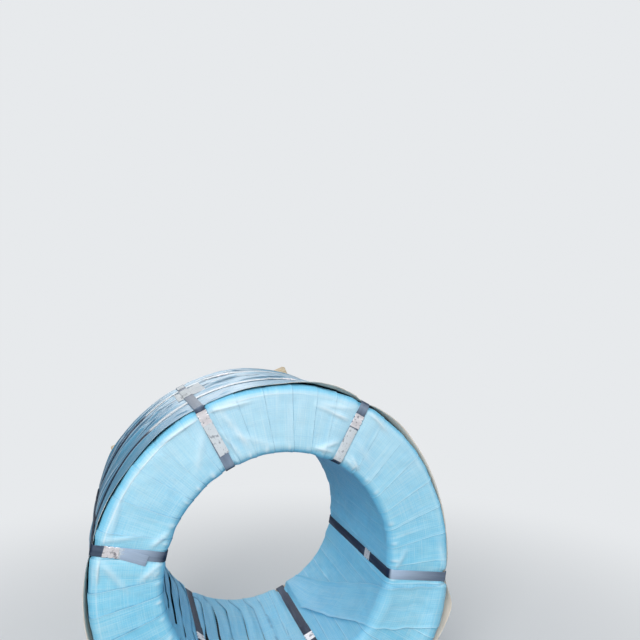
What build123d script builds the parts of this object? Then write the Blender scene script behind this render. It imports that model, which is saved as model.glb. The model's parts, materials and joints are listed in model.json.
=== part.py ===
"""Coil of seven-wire prestressing strand in its mill packing, standing on its rim.

The strand is wound into a hollow ring.  A woven tape is lapped round and round the
section of that ring, a sheet covers the outside, two steel straps run round the girth
and six more are pulled through the bore and round the section.  Two timber skids are
held on the back face by two of those straps.

The axis of the coil lies along Y, the front face looks to -Y, +X is to the right and
+Z is up.  The origin is the centre of the bore, half way along it.  Angles are seen from
the front: 0 points right, 90 points up.
"""

import os
from math import atan, cos, degrees, radians, sin, tan

from build123d import *

# Main sizes of the packed coil, in millimetres
cover_diameter = 1200
bore_diameter = 750
packed_width = 643

# Woven tape, lapped round the section
tape_turns = 40
tape_lap_step = 1.6
bore_packing = 7
rim_packing = 4
face_packing = 4
tape_rim_radius = 18
tape_bore_radius = 26
rim_flats = 2

# Outer cover sheet
cover_thickness = 1.5
cover_edge_inset = 14

# Steel strapping
strap_width = 32
strap_thickness = 1
strap_skid_bend = 3
channel_depth = 3
channel_margin = 2.5

# Folded seal that grips the two lapped ends of a strap
seal_length = 46
seal_thickness = 0.8
seal_flange = 7
crimp_depth = 2.5
crimp_width = 7
crimp_pitch = 16

# Clearances between neighbours
seat_gap = 0.2
slip_gap = 0.1
edge_gap = 2

# Straps round the section: angle, side of the seal, distance of the seal from the front
# edge of that side, length of the loose tail
cross_straps = [
    (350.5, "bore", 191, 60),
    (61.5, "front", 67, 95),
    (116.9, "front", 34, 110),
    (167.3, "front", 56, 80),
    (231, "bore", 228, 60),
    (294, "bore", 212, 60),
]

# Straps round the girth: distance from the nearer face, angle of the seal, loose tail
front_girth = (190, 84, 50)
back_girth = (120, 101, 50)

# Timber skids on the back face, one above and one below the bore, each under a strap
skid_length = 776
skid_width = 90
skid_thickness = 52
skid_rim_inset = 112
skid_direction = 23.2
skid_shift = 11
skid_chamfer = 4
skid_straps = (3, 6)

# Paper on the cover: a label over the upper skid's strap and a tag on the strap behind it
label_length = 190
label_width = 104
label_past_strap = 39
label_from_girth = 20
tag_length = 84
tag_width = 29
paper_thickness = 0.4

# Sizes that follow from the ones above
cover_radius = cover_diameter / 2
bore_radius = bore_diameter / 2
half_width = packed_width / 2
half_turn = radians(180 / tape_turns)
tape_outer = (cover_radius - cover_thickness - seat_gap) * cos(half_turn) - tape_lap_step
tape_inner = bore_radius * cos(half_turn) - tape_lap_step
turn_length = 2 * tape_outer * tan(half_turn)
core_outer = tape_outer - rim_packing
core_bore = bore_radius + bore_packing
core_half_width = half_width - tape_lap_step - face_packing
strap_standoff = seal_thickness + slip_gap + seat_gap
strap_rim_bend = cover_edge_inset - edge_gap
strap_bore_bend = tape_bore_radius - 2 * channel_depth
girth_inner = cover_radius + strap_standoff
girth_outer = girth_inner + strap_thickness
section_outer = girth_outer + seat_gap
section_inner = bore_radius + channel_depth - strap_standoff
section_half_width = half_width + seat_gap + slip_gap
skid_offset = cover_radius - skid_rim_inset
skid_face = half_width + seat_gap
skid_top = skid_face + skid_thickness
upper_skid_angle, lower_skid_angle = [cross_straps[number - 1][0] for number in skid_straps]

os.makedirs("parts", exist_ok=True)


def save(piece, label):
    """Name a finished piece and write it."""
    piece.label = label
    export_step(piece, f"parts/{label}.step")


def axial_plane(angle):
    """Plane through the axis of the coil: x runs outwards at the angle, y along the axis."""
    return Plane.XY.rotated((0, -angle, 0))


def core_section(gap):
    """Section of the winding, or with no gap of the space for it inside the packing."""
    with BuildSketch() as section:
        with Locations(((core_outer + core_bore) / 2, 0)):
            Rectangle(core_outer - core_bore - 2 * gap, 2 * (core_half_width - gap))
        bore_corners = section.vertices().group_by(Axis.X)[0]
        chamfer(bore_corners, tape_bore_radius - face_packing)
        rim_corners = section.vertices().group_by(Axis.X)[-1]
        chamfer(rim_corners, tape_rim_radius - face_packing)
    return section.sketch


# Strand, wound in layers into one tight ring and hidden by the packing
with BuildPart() as strand_coil:
    with BuildSketch(Plane.XY):
        add(core_section(seat_gap))
    revolve(axis=Axis.Y)
save(strand_coil.part, "strand_coil")


# Straps round the section follow the tight line round the ring and any skid under them
def skid_edge(angle, edge_offset, side):
    """Farthest (side 1) or nearest (side -1) crossing of a skid's edge under a strap."""
    slant = radians(angle - skid_direction - 90)
    return (edge_offset + side * strap_width / 2 * abs(sin(slant))) / abs(cos(slant))


def section_line(angle, grow):
    """Outline of a strap's inner side at an angle, x outwards, moved outwards by grow."""
    front, back = -section_half_width, section_half_width
    corners = [(section_inner, front), (section_outer, front), (section_outer, back)]
    bends = [strap_bore_bend, strap_rim_bend, strap_rim_bend]
    if angle in (upper_skid_angle, lower_skid_angle):
        top = skid_top + seat_gap
        outer_edge = skid_edge(angle, skid_offset, 1) + seat_gap
        inner_edge = skid_edge(angle, skid_offset - skid_width, -1) - seat_gap
        corners += [(outer_edge, top), (inner_edge, top)]
        bends += [strap_skid_bend, strap_skid_bend]
    corners.append((section_inner, back))
    bends.append(strap_bore_bend)
    with BuildSketch() as outline:
        with BuildLine():
            FilletPolyline(*corners, radius=bends, close=True)
        make_face()
        if grow:
            offset(amount=grow)
    return outline.sketch


# Woven tape: it is folded over each rim in a few flats, and every turn laps over the one
# before it, so it rises by a step at its edge
def tape_corners():
    """Corners of a turn's section, anticlockwise from the front rim."""
    reach = half_width - tape_lap_step
    outer_centre = tape_outer - tape_rim_radius
    inner_centre = tape_inner + tape_bore_radius
    rims = [
        (outer_centre, tape_rim_radius - reach, tape_rim_radius, 270),
        (outer_centre, reach - tape_rim_radius, tape_rim_radius, 0),
        (inner_centre, reach - tape_bore_radius, tape_bore_radius, 90),
        (inner_centre, tape_bore_radius - reach, tape_bore_radius, 180),
    ]
    bend = 90 / (rim_flats + 1)
    corners = []
    for centre_x, centre_y, fold, start in rims:
        reach_out = fold / cos(radians(bend / 2))
        for flat in range(rim_flats + 1):
            turn = radians(start + bend * (flat + 0.5))
            corners.append((centre_x + reach_out * cos(turn), centre_y + reach_out * sin(turn)))
    return corners


turn_taper = degrees(atan(tape_lap_step / turn_length))
with BuildPart() as tape_turn:
    with BuildSketch(axial_plane(0).offset(-turn_length / 2)):
        Polygon(*tape_corners(), align=None)
    extrude(amount=turn_length, taper=-turn_taper)
    with BuildSketch(Plane.XZ.offset(packed_width)):
        Polygon((0, 0), (2 * tape_outer, -turn_length), (2 * tape_outer, turn_length), align=None)
    extrude(amount=-2 * packed_width, mode=Mode.INTERSECT)

# Each strap draws a shallow channel into the soft packing
with BuildPart() as channels:
    for angle, *_ in cross_straps:
        with BuildSketch(axial_plane(angle)):
            with Locations(((section_outer + section_inner) / 2, 0)):
                Rectangle(section_outer - section_inner + bore_radius, 2 * packed_width)
            add(section_line(angle, -strap_standoff), mode=Mode.SUBTRACT)
        extrude(amount=strap_width / 2 + channel_margin, both=True)

with BuildPart() as tape_wrap:
    for turn in range(tape_turns):
        with Locations(Location((0, 0, 0), (0, -turn * 360 / tape_turns, 0))):
            add(tape_turn.part)
    with BuildSketch(Plane.XZ.offset(packed_width)):
        Circle(bore_radius)
    extrude(amount=-2 * packed_width, mode=Mode.SUBTRACT)
    with BuildSketch(Plane.XY):
        add(core_section(0))
    revolve(axis=Axis.Y, mode=Mode.SUBTRACT)
    add(channels.part, mode=Mode.SUBTRACT)
save(tape_wrap.part, "tape_wrap")

# Cover sheet round the outside
with BuildPart() as outer_cover:
    with BuildSketch(Plane.XZ.offset(half_width - cover_edge_inset)):
        Circle(cover_radius)
        Circle(cover_radius - cover_thickness, mode=Mode.SUBTRACT)
    extrude(amount=2 * cover_edge_inset - packed_width)
save(outer_cover.part, "outer_cover")

# Section of a seal, folded round both layers of strap and under their edges: x runs
# across the strap, y away from the coil, and the back of the strap is at 0
seal_half = strap_width / 2 + slip_gap
seal_height = 2 * (strap_thickness + slip_gap)
with BuildSketch() as seal_profile:
    with Locations((0, strap_thickness)):
        Rectangle(2 * (seal_half + seal_thickness), seal_height + 2 * seal_thickness)
        Rectangle(2 * seal_half, seal_height, mode=Mode.SUBTRACT)
    with Locations((0, -slip_gap - seal_thickness / 2)):
        mouth = 2 * (seal_half + seal_thickness - seal_flange)
        Rectangle(mouth, seal_thickness, mode=Mode.SUBTRACT)

# The four notches crimped into its edges: x runs along the strap, y across it
notch_edge = seal_half + 2 * seal_thickness
notch_root = seal_half + seal_thickness - crimp_depth
seal_reach = seal_height + 2 * seal_thickness
with BuildSketch() as crimp_notches:
    for along in (-crimp_pitch / 2, crimp_pitch / 2):
        for side in (-1, 1):
            with BuildLine():
                Polyline(
                    (along - crimp_width / 2, side * notch_edge),
                    (along, side * notch_root),
                    (along + crimp_width / 2, side * notch_edge),
                    close=True,
                )
            make_face()

# A strap lies on its inner line, and its lapped end lies on the strap
for number, (angle, side, place, tail) in enumerate(cross_straps, 1):
    axial = axial_plane(angle)
    lap_length = seal_length + tail
    if side == "front":
        seal_place = (cover_radius - place, -section_half_width)
        lap_place = (seal_place[0] - tail / 2, -section_half_width - 1.5 * strap_thickness)
        lap_size = (lap_length, strap_thickness)
        along, away = axial.x_dir, -axial.y_dir
    else:
        seal_place = (section_inner, place - half_width)
        lap_place = (section_inner - 1.5 * strap_thickness, seal_place[1] + tail / 2)
        lap_size = (strap_thickness, lap_length)
        along, away = -axial.y_dir, -axial.x_dir
    with BuildPart() as cross_strap:
        with BuildSketch(axial):
            add(section_line(angle, strap_thickness))
            add(section_line(angle, 0), mode=Mode.SUBTRACT)
            with Locations(lap_place):
                Rectangle(*lap_size)
        extrude(amount=strap_width / 2, both=True)
    save(cross_strap.part, f"cross_strap_{number}")

    seat = axial.from_local_coords(seal_place)
    with BuildPart() as cross_seal:
        with BuildSketch(Plane(seat, x_dir=axial.z_dir, z_dir=along)):
            add(seal_profile.sketch)
        extrude(amount=seal_length / 2, both=True)
        with BuildSketch(Plane(seat, x_dir=along, z_dir=away)):
            add(crimp_notches.sketch)
        extrude(amount=seal_reach, both=True, mode=Mode.SUBTRACT)
    save(cross_seal.part, f"cross_seal_{number}")

# Straps round the girth, under the others, with a seal bent to the same curve
girth_places = [front_girth[0] - half_width, half_width - back_girth[0]]
girth_seals = [front_girth[1:], back_girth[1:]]
for number, (place, (seal_angle, tail)) in enumerate(zip(girth_places, girth_seals), 1):
    seal_arc = degrees(seal_length / girth_outer)
    lap_arc = seal_arc + degrees(tail / girth_outer)
    with BuildPart() as girth_strap:
        with BuildSketch(Plane.XZ.offset(strap_width / 2 - place)):
            Circle(girth_outer)
            Circle(girth_inner, mode=Mode.SUBTRACT)
            with BuildLine():
                lap_radius = girth_outer + strap_thickness / 2
                CenterArc((0, 0), lap_radius, seal_angle - seal_arc / 2, lap_arc)
            trace(line_width=strap_thickness)
        extrude(amount=-strap_width)
    save(girth_strap.part, f"girth_strap_{number}")

    start = axial_plane(seal_angle - seal_arc / 2)
    centre = axial_plane(seal_angle)
    start_seat = start.from_local_coords((girth_inner, place))
    centre_seat = centre.from_local_coords((girth_inner, place))
    with BuildPart() as girth_seal:
        with BuildSketch(Plane(start_seat, x_dir=start.y_dir, z_dir=-start.z_dir)):
            add(seal_profile.sketch)
        revolve(axis=Axis.Y, revolution_arc=-seal_arc)
        with BuildSketch(Plane(centre_seat, x_dir=centre.z_dir, z_dir=centre.x_dir)):
            add(crimp_notches.sketch)
        extrude(amount=seal_reach, both=True, mode=Mode.SUBTRACT)
    save(girth_seal.part, f"girth_seal_{number}")

# Timber skids across the back face, one on each side of the bore
skid_places = [(skid_direction, skid_shift), (skid_direction + 180, -skid_shift)]
for number, (direction, shift) in enumerate(skid_places, 1):
    with BuildPart() as skid_board:
        with BuildSketch(Plane.XZ.offset(-skid_face)):
            with Locations(Location((0, 0, 0), direction)):
                with Locations((shift, skid_offset - skid_width / 2)):
                    Rectangle(skid_length, skid_width)
        extrude(amount=-skid_thickness)
        chamfer(skid_board.faces().sort_by(Axis.Y)[-1].edges(), skid_chamfer)
    save(skid_board.part, f"skid_board_{number}")


# Paper stuck on the cover, and over the strap where one runs under it
def paper_points(width_on_strap, sides, lift):
    """Section of a sheet on the strap, and down to angles on both sides where given."""
    flat = section_outer + strap_thickness + seat_gap + lift
    reach = atan(width_on_strap / 2 / flat)
    high = flat / cos(reach)
    points = [(upper_skid_angle + side * degrees(reach), high) for side in (-1, 1)]
    if sides:
        low = cover_radius + seat_gap + lift
        points = [(sides[0], low), *points, (sides[1], low)]
    return [(r * cos(radians(a)), r * sin(radians(a))) for a, r in points]


label_edge = upper_skid_angle + degrees(label_past_strap / cover_radius)
label_start = label_edge - degrees(label_width / cover_radius)
label_bridge = strap_width + 2 * seat_gap
label_end = girth_places[1] - strap_width / 2 - label_from_girth
tag_end = girth_places[1] + strap_width / 2 + edge_gap + tag_length
papers = [
    ("label_sheet", label_bridge, [label_start, label_edge], label_end, label_length),
    ("label_tag", tag_width, [], tag_end, tag_length),
]
for name, width_on_strap, sides, far_end, length in papers:
    under = paper_points(width_on_strap, sides, 0)
    over = paper_points(width_on_strap, sides, paper_thickness)
    with BuildPart() as paper:
        with BuildSketch(Plane.XZ.offset(-far_end)):
            with BuildLine():
                Polyline(*under, *reversed(over), close=True)
            make_face()
        extrude(amount=length)
    save(paper.part, name)
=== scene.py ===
"""Coil of prestressing strand in its mill packing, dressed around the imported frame.

The woven tape is laid as long ribbons that lap round the section of the coil.  The cover
sheet, the strapping with its seals, the timber, the paper and the strand that shows
between the turns each have an operator.  Lengths are in metres, the axis of the coil is
Y and the front face looks to -Y.  Angles are seen from the front, anticlockwise from +X.
"""

import json
import math

import bmesh
import bpy
import numpy as np
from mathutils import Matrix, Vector


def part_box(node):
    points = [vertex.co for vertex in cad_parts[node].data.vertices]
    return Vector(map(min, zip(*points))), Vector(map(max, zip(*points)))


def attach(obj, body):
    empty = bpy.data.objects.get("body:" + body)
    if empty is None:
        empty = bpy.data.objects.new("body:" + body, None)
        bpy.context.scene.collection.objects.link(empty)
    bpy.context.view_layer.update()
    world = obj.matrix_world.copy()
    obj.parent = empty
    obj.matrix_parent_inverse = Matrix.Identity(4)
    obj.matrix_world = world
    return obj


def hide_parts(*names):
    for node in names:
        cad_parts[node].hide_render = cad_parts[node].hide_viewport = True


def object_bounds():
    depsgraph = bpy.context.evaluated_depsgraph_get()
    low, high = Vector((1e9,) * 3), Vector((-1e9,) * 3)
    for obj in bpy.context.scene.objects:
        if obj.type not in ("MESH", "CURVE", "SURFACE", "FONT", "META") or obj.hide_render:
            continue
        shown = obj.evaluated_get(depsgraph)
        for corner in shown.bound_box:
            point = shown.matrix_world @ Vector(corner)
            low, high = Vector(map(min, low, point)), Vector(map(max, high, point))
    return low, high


bl_info = {
    "name": "Packed Strand Coil",
    "version": (1, 0, 0),
    "blender": (4, 5, 0),
    "location": "View3D > Sidebar > Coil",
    "description": "Dresses a packed coil of prestressing strand with tape, cover and strapping",
    "category": "Add Mesh",
}

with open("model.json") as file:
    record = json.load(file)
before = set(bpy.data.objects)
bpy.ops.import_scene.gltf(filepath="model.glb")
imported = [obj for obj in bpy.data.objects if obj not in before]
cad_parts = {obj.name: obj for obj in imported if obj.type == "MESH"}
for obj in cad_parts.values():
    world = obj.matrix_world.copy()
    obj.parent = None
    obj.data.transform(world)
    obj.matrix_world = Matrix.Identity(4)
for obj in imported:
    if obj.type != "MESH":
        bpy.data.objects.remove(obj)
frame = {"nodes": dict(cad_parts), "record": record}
cad_low, cad_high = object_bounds()

FULL_TURN = 2 * math.pi
AXIS = np.array([0, 1.0, 0])
FRONTWARDS = np.array([0, -1.0, 0])
CROSS_STRAPS = sorted(name for name in frame["nodes"] if name.startswith("cross_strap"))
GIRTH_STRAPS = sorted(name for name in frame["nodes"] if name.startswith("girth_strap"))
SKID_BOARDS = sorted(name for name in frame["nodes"] if name.startswith("skid_board"))
BORE_RADIUS = frame["record"]["mounts"][0]["dims"]["r_mm"] / 1000
COVER_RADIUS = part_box("outer_cover")[1].x
HALF_COVER = -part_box("outer_cover")[0].y
FACE = -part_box("tape_wrap")[0].y
# How far the straps lie off the faces, the bore's wall and the cover
FACE_GAP = 0.0003
BORE_GAP = 0.0019
COVER_GAP = 0.0011
# Pitch of the plain weave of the tape and the cover
WEAVE_PITCH = 0.0026


def node_points(name):
    """Corners of a CAD node as an array."""
    return np.array([corner.co for corner in frame["nodes"][name].data.vertices])


def node_place(name):
    """Angle, radius and place along the axis of the middle of a CAD node."""
    low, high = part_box(name)
    x, y, z = (low + high) / 2
    return math.atan2(z, x), math.hypot(x, z), y


def strap_angle(name):
    """Angle of a strap round the section, in radians."""
    x, _, z = node_points(name).mean(axis=0)
    return math.atan2(z, x)


STRAP_ANGLES = {name: strap_angle(name) for name in CROSS_STRAPS}


# Numbers on arrays

def turned(angle, radius, along):
    """Points at an angle round the axis, a radius from it and a place along it."""
    return np.stack([radius * np.cos(angle), along, radius * np.sin(angle)], axis=-1)


def wrapped(angle):
    """Angle brought between minus and plus half a turn."""
    return (angle + math.pi) % FULL_TURN - math.pi


def directions(angle):
    """Outward and sideways directions at an angle round the axis."""
    outward = np.array([math.cos(angle), 0, math.sin(angle)])
    return outward, np.array([-math.sin(angle), 0, math.cos(angle)])


def smooth(value, low, high):
    """Rises smoothly from 0 at low to 1 at high."""
    share = np.clip((value - low) / (high - low), 0, 1)
    return share * share * (3 - 2 * share)


def waves(points, shortest, longest, seed, count=14):
    """Smooth random relief between about -1 and 1, with wavelengths in a range."""
    random = np.random.default_rng(seed)
    total = np.zeros(points.shape[:-1])
    for _ in range(count):
        direction = random.normal(size=3)
        direction /= np.linalg.norm(direction)
        length = random.uniform(shortest, longest)
        total += np.sin(points @ direction * FULL_TURN / length + random.uniform(0, FULL_TURN))
    return total / math.sqrt(count)


def profile(angle, stops):
    """Value at an angle, from stops of degrees and values round the whole turn."""
    degrees = np.degrees(angle) % 360
    angles, values = zip(*sorted(stops))
    return np.interp(degrees, angles, values, period=360)


# Meshes

def grid_mesh(name, points, uv=None, flip=False, wrap=False, layers=None):
    """Object whose faces join a grid of points, with its own map and point values."""
    rows, columns = points.shape[:2]
    index = np.arange(rows * columns).reshape(rows, columns)
    below = np.roll(index, -1, axis=0) if wrap else index[1:]
    above = index if wrap else index[:-1]
    corners = [above[:, :-1], above[:, 1:], below[:, 1:], below[:, :-1]]
    if flip:
        corners.reverse()
    faces = np.stack(corners, axis=-1).reshape(-1, 4)
    mesh = bpy.data.meshes.new(name)
    mesh.vertices.add(rows * columns)
    mesh.vertices.foreach_set("co", points.astype(np.float32).ravel())
    mesh.loops.add(faces.size)
    mesh.loops.foreach_set("vertex_index", faces.astype(np.int32).ravel())
    mesh.polygons.add(len(faces))
    mesh.polygons.foreach_set("loop_start", np.arange(0, faces.size, 4, dtype=np.int32))
    mesh.update(calc_edges=True)
    mesh.shade_smooth()
    if uv is not None:
        flat = uv.reshape(-1, 2)[faces.ravel()]
        if wrap:
            last = np.repeat((faces >= (rows - 1) * columns).any(axis=1), 4)
            first = last & (faces.ravel() < columns)
            flat[first, 0] += uv[-1, 0, 0] + uv[1, 0, 0] - 2 * uv[0, 0, 0]
        mesh.uv_layers.new(name="weave").data.foreach_set("uv", flat.astype(np.float32).ravel())
    for key, values in (layers or {}).items():
        mesh.attributes.new(key, "FLOAT", "POINT").data.foreach_set(
            "value", values.astype(np.float32).ravel()
        )
    return link(name, mesh)


def path_mesh(name, points, joined=True, **layers):
    """Line of points, or points alone, with values and directions at the points."""
    edges = [(number, number + 1) for number in range(len(points) - 1)] if joined else []
    mesh = bpy.data.meshes.new(name)
    mesh.from_pydata([tuple(point) for point in points], edges, [])
    for key, values in layers.items():
        values = np.asarray(values, dtype=np.float32)
        if values.ndim == 2:
            layer = mesh.attributes.new(key, "FLOAT_VECTOR", "POINT")
            layer.data.foreach_set("vector", values.ravel())
        else:
            mesh.attributes.new(key, "FLOAT", "POINT").data.foreach_set("value", values)
    return link(name, mesh)


def link(name, data):
    """New object at the origin of the scene."""
    made = bpy.data.objects.new(name, data)
    bpy.context.scene.collection.objects.link(made)
    return made


def settle(made):
    """Plain mesh of an object with its modifiers applied, in a new object."""
    evaluated = made.evaluated_get(bpy.context.evaluated_depsgraph_get())
    mesh = bpy.data.meshes.new_from_object(evaluated)
    name, old = made.name, made.data
    bpy.data.objects.remove(made)
    bpy.data.meshes.remove(old)
    mesh.name = name
    return link(name, mesh)


def thicken(made, thickness, inner_slot=0):
    """Gives a sheet its thickness, with another material inside where it has one."""
    wall = made.modifiers.new("thickness", "SOLIDIFY")
    wall.thickness = thickness
    wall.offset = -1
    wall.material_offset = inner_slot
    return settle(made)


def keep(piece, slot, *nodes):
    """Makes a finished piece part of the object, in place of some CAD nodes."""
    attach(piece, "root")
    if nodes:
        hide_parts(*nodes)


# Node trees

class Value:
    """A node's output that can stand in a Python expression."""

    def __init__(self, tree, socket):
        self.tree = tree
        self.socket = socket

    def _math(self, operation, *values, clamp=False):
        node = self.tree.nodes.new("ShaderNodeMath")
        node.operation = operation
        node.use_clamp = clamp
        for socket, value in zip(node.inputs, values):
            plug(self.tree, socket, value)
        return Value(self.tree, node.outputs[0])

    def __add__(self, other):
        return self._math("ADD", self, other)

    def __radd__(self, other):
        return self._math("ADD", other, self)

    def __sub__(self, other):
        return self._math("SUBTRACT", self, other)

    def __rsub__(self, other):
        return self._math("SUBTRACT", other, self)

    def __mul__(self, other):
        return self._math("MULTIPLY", self, other)

    def __rmul__(self, other):
        return self._math("MULTIPLY", other, self)

    def __pow__(self, other):
        return self._math("POWER", self, other)

    def sine(self):
        return self._math("SINE", self)

    def size(self):
        return self._math("ABSOLUTE", self)

    def most(self, other):
        return self._math("MAXIMUM", self, other)

    def clamp(self):
        return self._math("MULTIPLY", self, 1.0, clamp=True)


def plug(tree, socket, value):
    """Links a value to a socket, or sets the socket to a plain number or colour."""
    if isinstance(value, Value):
        tree.links.new(value.socket, socket)
    else:
        socket.default_value = value


class Tree:
    """Makes the nodes of one tree."""

    prefix = "ShaderNode"

    def __init__(self, tree):
        self.tree = tree

    def node(self, kind, settings=None, values=None):
        """Node of a type, with its settings first and then its sockets' values."""
        prefix = "" if kind.startswith(("Shader", "Geometry", "Function")) else self.prefix
        node = self.tree.nodes.new(prefix + kind)
        for key, value in (settings or {}).items():
            setattr(node, key, value)
        for key, value in (values or {}).items():
            plug(self.tree, node.inputs[key], value)
        return node

    def get(self, kind, output, settings=None, values=None):
        """One output of a new node."""
        return Value(self.tree, self.node(kind, settings, values).outputs[output])

    def parts(self, vector):
        """The three numbers of a vector."""
        node = self.node("ShaderNodeSeparateXYZ", None, {"Vector": vector})
        return [Value(self.tree, socket) for socket in node.outputs]

    def band(self, value, low, high):
        """0 below low and 1 above high, smooth between them."""
        values = {"Value": value, "From Min": low, "From Max": high}
        return self.get("MapRange", "Result", {"interpolation_type": "SMOOTHSTEP"}, values)

    def mix(self, share, first, second):
        """Colour between two others."""
        first, second = (
            value if isinstance(value, Value) else (*value, 1) for value in (first, second)
        )
        return self.get("Mix", 2, {"data_type": "RGBA"}, {0: share, 6: first, 7: second})

    def blend(self, share, first, second):
        """Shader between two others."""
        return self.get("MixShader", "Shader", None, {"Fac": share, 1: first, 2: second})


class Finish(Tree):
    """A procedural material."""

    def __init__(self, name):
        material = bpy.data.materials.new(name)
        material.use_nodes = True
        super().__init__(material.node_tree)
        self.material = material
        self.shader = self.tree.nodes["Principled BSDF"]

    def place(self, scale=(1, 1, 1)):
        """Object coordinates, stretched."""
        return self.stretch(self.get("TexCoord", "Object"), scale)

    def sheet(self):
        """The sheet's own map, and the places along and across it."""
        where = self.get("UVMap", "UV", {"uv_map": "weave"})
        return where, *self.parts(where)[:2]

    def stretch(self, where, scale):
        """Coordinates multiplied on each axis."""
        return self.get("Mapping", "Vector", None, {"Vector": where, "Scale": scale})

    def layer(self, name):
        """Value that the mesh holds at its points."""
        return self.get("Attribute", "Fac", {"attribute_name": name})

    def noise(self, where, scale, detail=3.0, roughness=0.55):
        """Soft random pattern from 0 to 1."""
        values = {"Vector": where, "Scale": scale, "Detail": detail, "Roughness": roughness}
        return self.get("TexNoise", "Fac", None, values)

    def coats(self, base, *coats):
        """Colour with others laid over it in turn, each with its own share."""
        for share, colour in coats:
            base = self.mix(share, base, colour)
        return base

    def relief(self, *reliefs):
        """Normal of a surface with reliefs over each other: height, distance, strength."""
        normal = {}
        for height, distance, strength in reliefs:
            values = {"Height": height, "Distance": distance, "Strength": strength, **normal}
            normal["Normal"] = self.get("Bump", "Normal", None, values)
        return normal["Normal"]

    def set(self, **values):
        """Sets the shader's sockets by name and returns the material."""
        for key, value in values.items():
            plug(self.tree, self.shader.inputs[key.replace("_", " ")], value)
        return self.material


def shaded(colour, shares):
    """Colour with each of its three parts multiplied."""
    return tuple(part * share for part, share in zip(colour, shares))


def woven_height(along, across):
    """Relief of a plain weave, from the places along and across a sheet."""
    first = (along * (math.pi / WEAVE_PITCH)).sine()
    second = (across * (math.pi / WEAVE_PITCH)).sine()
    checker = first * second
    return checker.size() ** 0.5 + 0.35 * (first.size() - second.size())


class Recipe(Tree):
    """A Geometry Nodes tree with named inputs."""

    prefix = "GeometryNode"

    def __init__(self, name, **inputs):
        super().__init__(bpy.data.node_groups.new(name, "GeometryNodeTree"))
        face = self.tree.interface
        face.new_socket("Geometry", in_out="INPUT", socket_type="NodeSocketGeometry")
        for key, kind in inputs.items():
            face.new_socket(key, in_out="INPUT", socket_type="NodeSocket" + kind)
        face.new_socket("Geometry", in_out="OUTPUT", socket_type="NodeSocketGeometry")
        self.start = self.tree.nodes.new("NodeGroupInput")
        self.end = self.tree.nodes.new("NodeGroupOutput")

    def given(self, title):
        """What an input of the tree holds."""
        return Value(self.tree, self.start.outputs[title])

    def named(self, key, kind="FLOAT"):
        """Value that the geometry holds under a name."""
        return self.get("InputNamedAttribute", "Attribute", {"data_type": kind}, {"Name": key})

    def store(self, geometry, key, value):
        """Geometry that holds a number at each of its points under a name."""
        values = {"Geometry": geometry, "Name": key, "Value": value}
        return self.get("StoreNamedAttribute", "Geometry", None, values)

    def place_on_points(self, piece, **values):
        """Copies of a piece on the given points, each made real geometry."""
        values = {"Points": self.given("Geometry"), "Instance": piece, **values}
        copies = self.get("InstanceOnPoints", "Instances", None, values)
        return self.get("RealizeInstances", "Geometry", None, {"Geometry": copies})

    def sweep(self, line, section, **values):
        """Surface of a section drawn along a line."""
        values = {"Curve": line, "Profile Curve": section, **values}
        return self.get("CurveToMesh", "Mesh", None, values)

    def finish(self, geometry):
        """Ends the tree with plain smooth geometry of the given material."""
        smooth_shaded = self.get("SetShadeSmooth", "Geometry", None, {"Geometry": geometry})
        real = self.get("RealizeInstances", "Geometry", None, {"Geometry": smooth_shaded})
        values = {"Geometry": real, "Material": self.given("Material")}
        done = self.get("SetMaterial", "Geometry", None, values)
        self.tree.links.new(done.socket, self.end.inputs[0])
        return self.tree


def grow(source, tree, **values):
    """Plain mesh that a tree makes from a piece, with the tree's inputs set by name."""
    modifier = source.modifiers.new("recipe", "NODES")
    modifier.node_group = tree
    for item in tree.interface.items_tree:
        key = item.name.lower()
        if item.in_out == "INPUT" and key in values:
            modifier[item.identifier] = values[key]
    return settle(source)


# Tape

# Radius of the tape outside and in the bore, and its place on the two faces
TAPE_RADIUS = COVER_RADIUS - 0.0060
TAPE_BORE = BORE_RADIUS + 0.0030
TAPE_FACE = FACE - 0.0022
# Places across the tape at which it has points, in millimetres
TAPE_COLUMNS = [
    0.0, 1.5, 4, 8, 13, 19, 26, 34, 42, 50, 58, 67, 76, 86, 96, 108, 122, 140,
]
# Distances between the tape's points along its way round the section
TAPE_STEPS = {
    "outside front": 0.024, "front rim": 0.0033, "crease": 0.0015, "face": 0.006,
    "bend": 0.004, "bore": 0.010, "outside back": 0.022,
}
# Width of the strip inside the front rim where the tape creases
CREASE_STRIP = 0.009
# Pitches of the tape's grid of pale threads, along and across it
TAPE_GRID = (0.0071, 0.0066)
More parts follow.
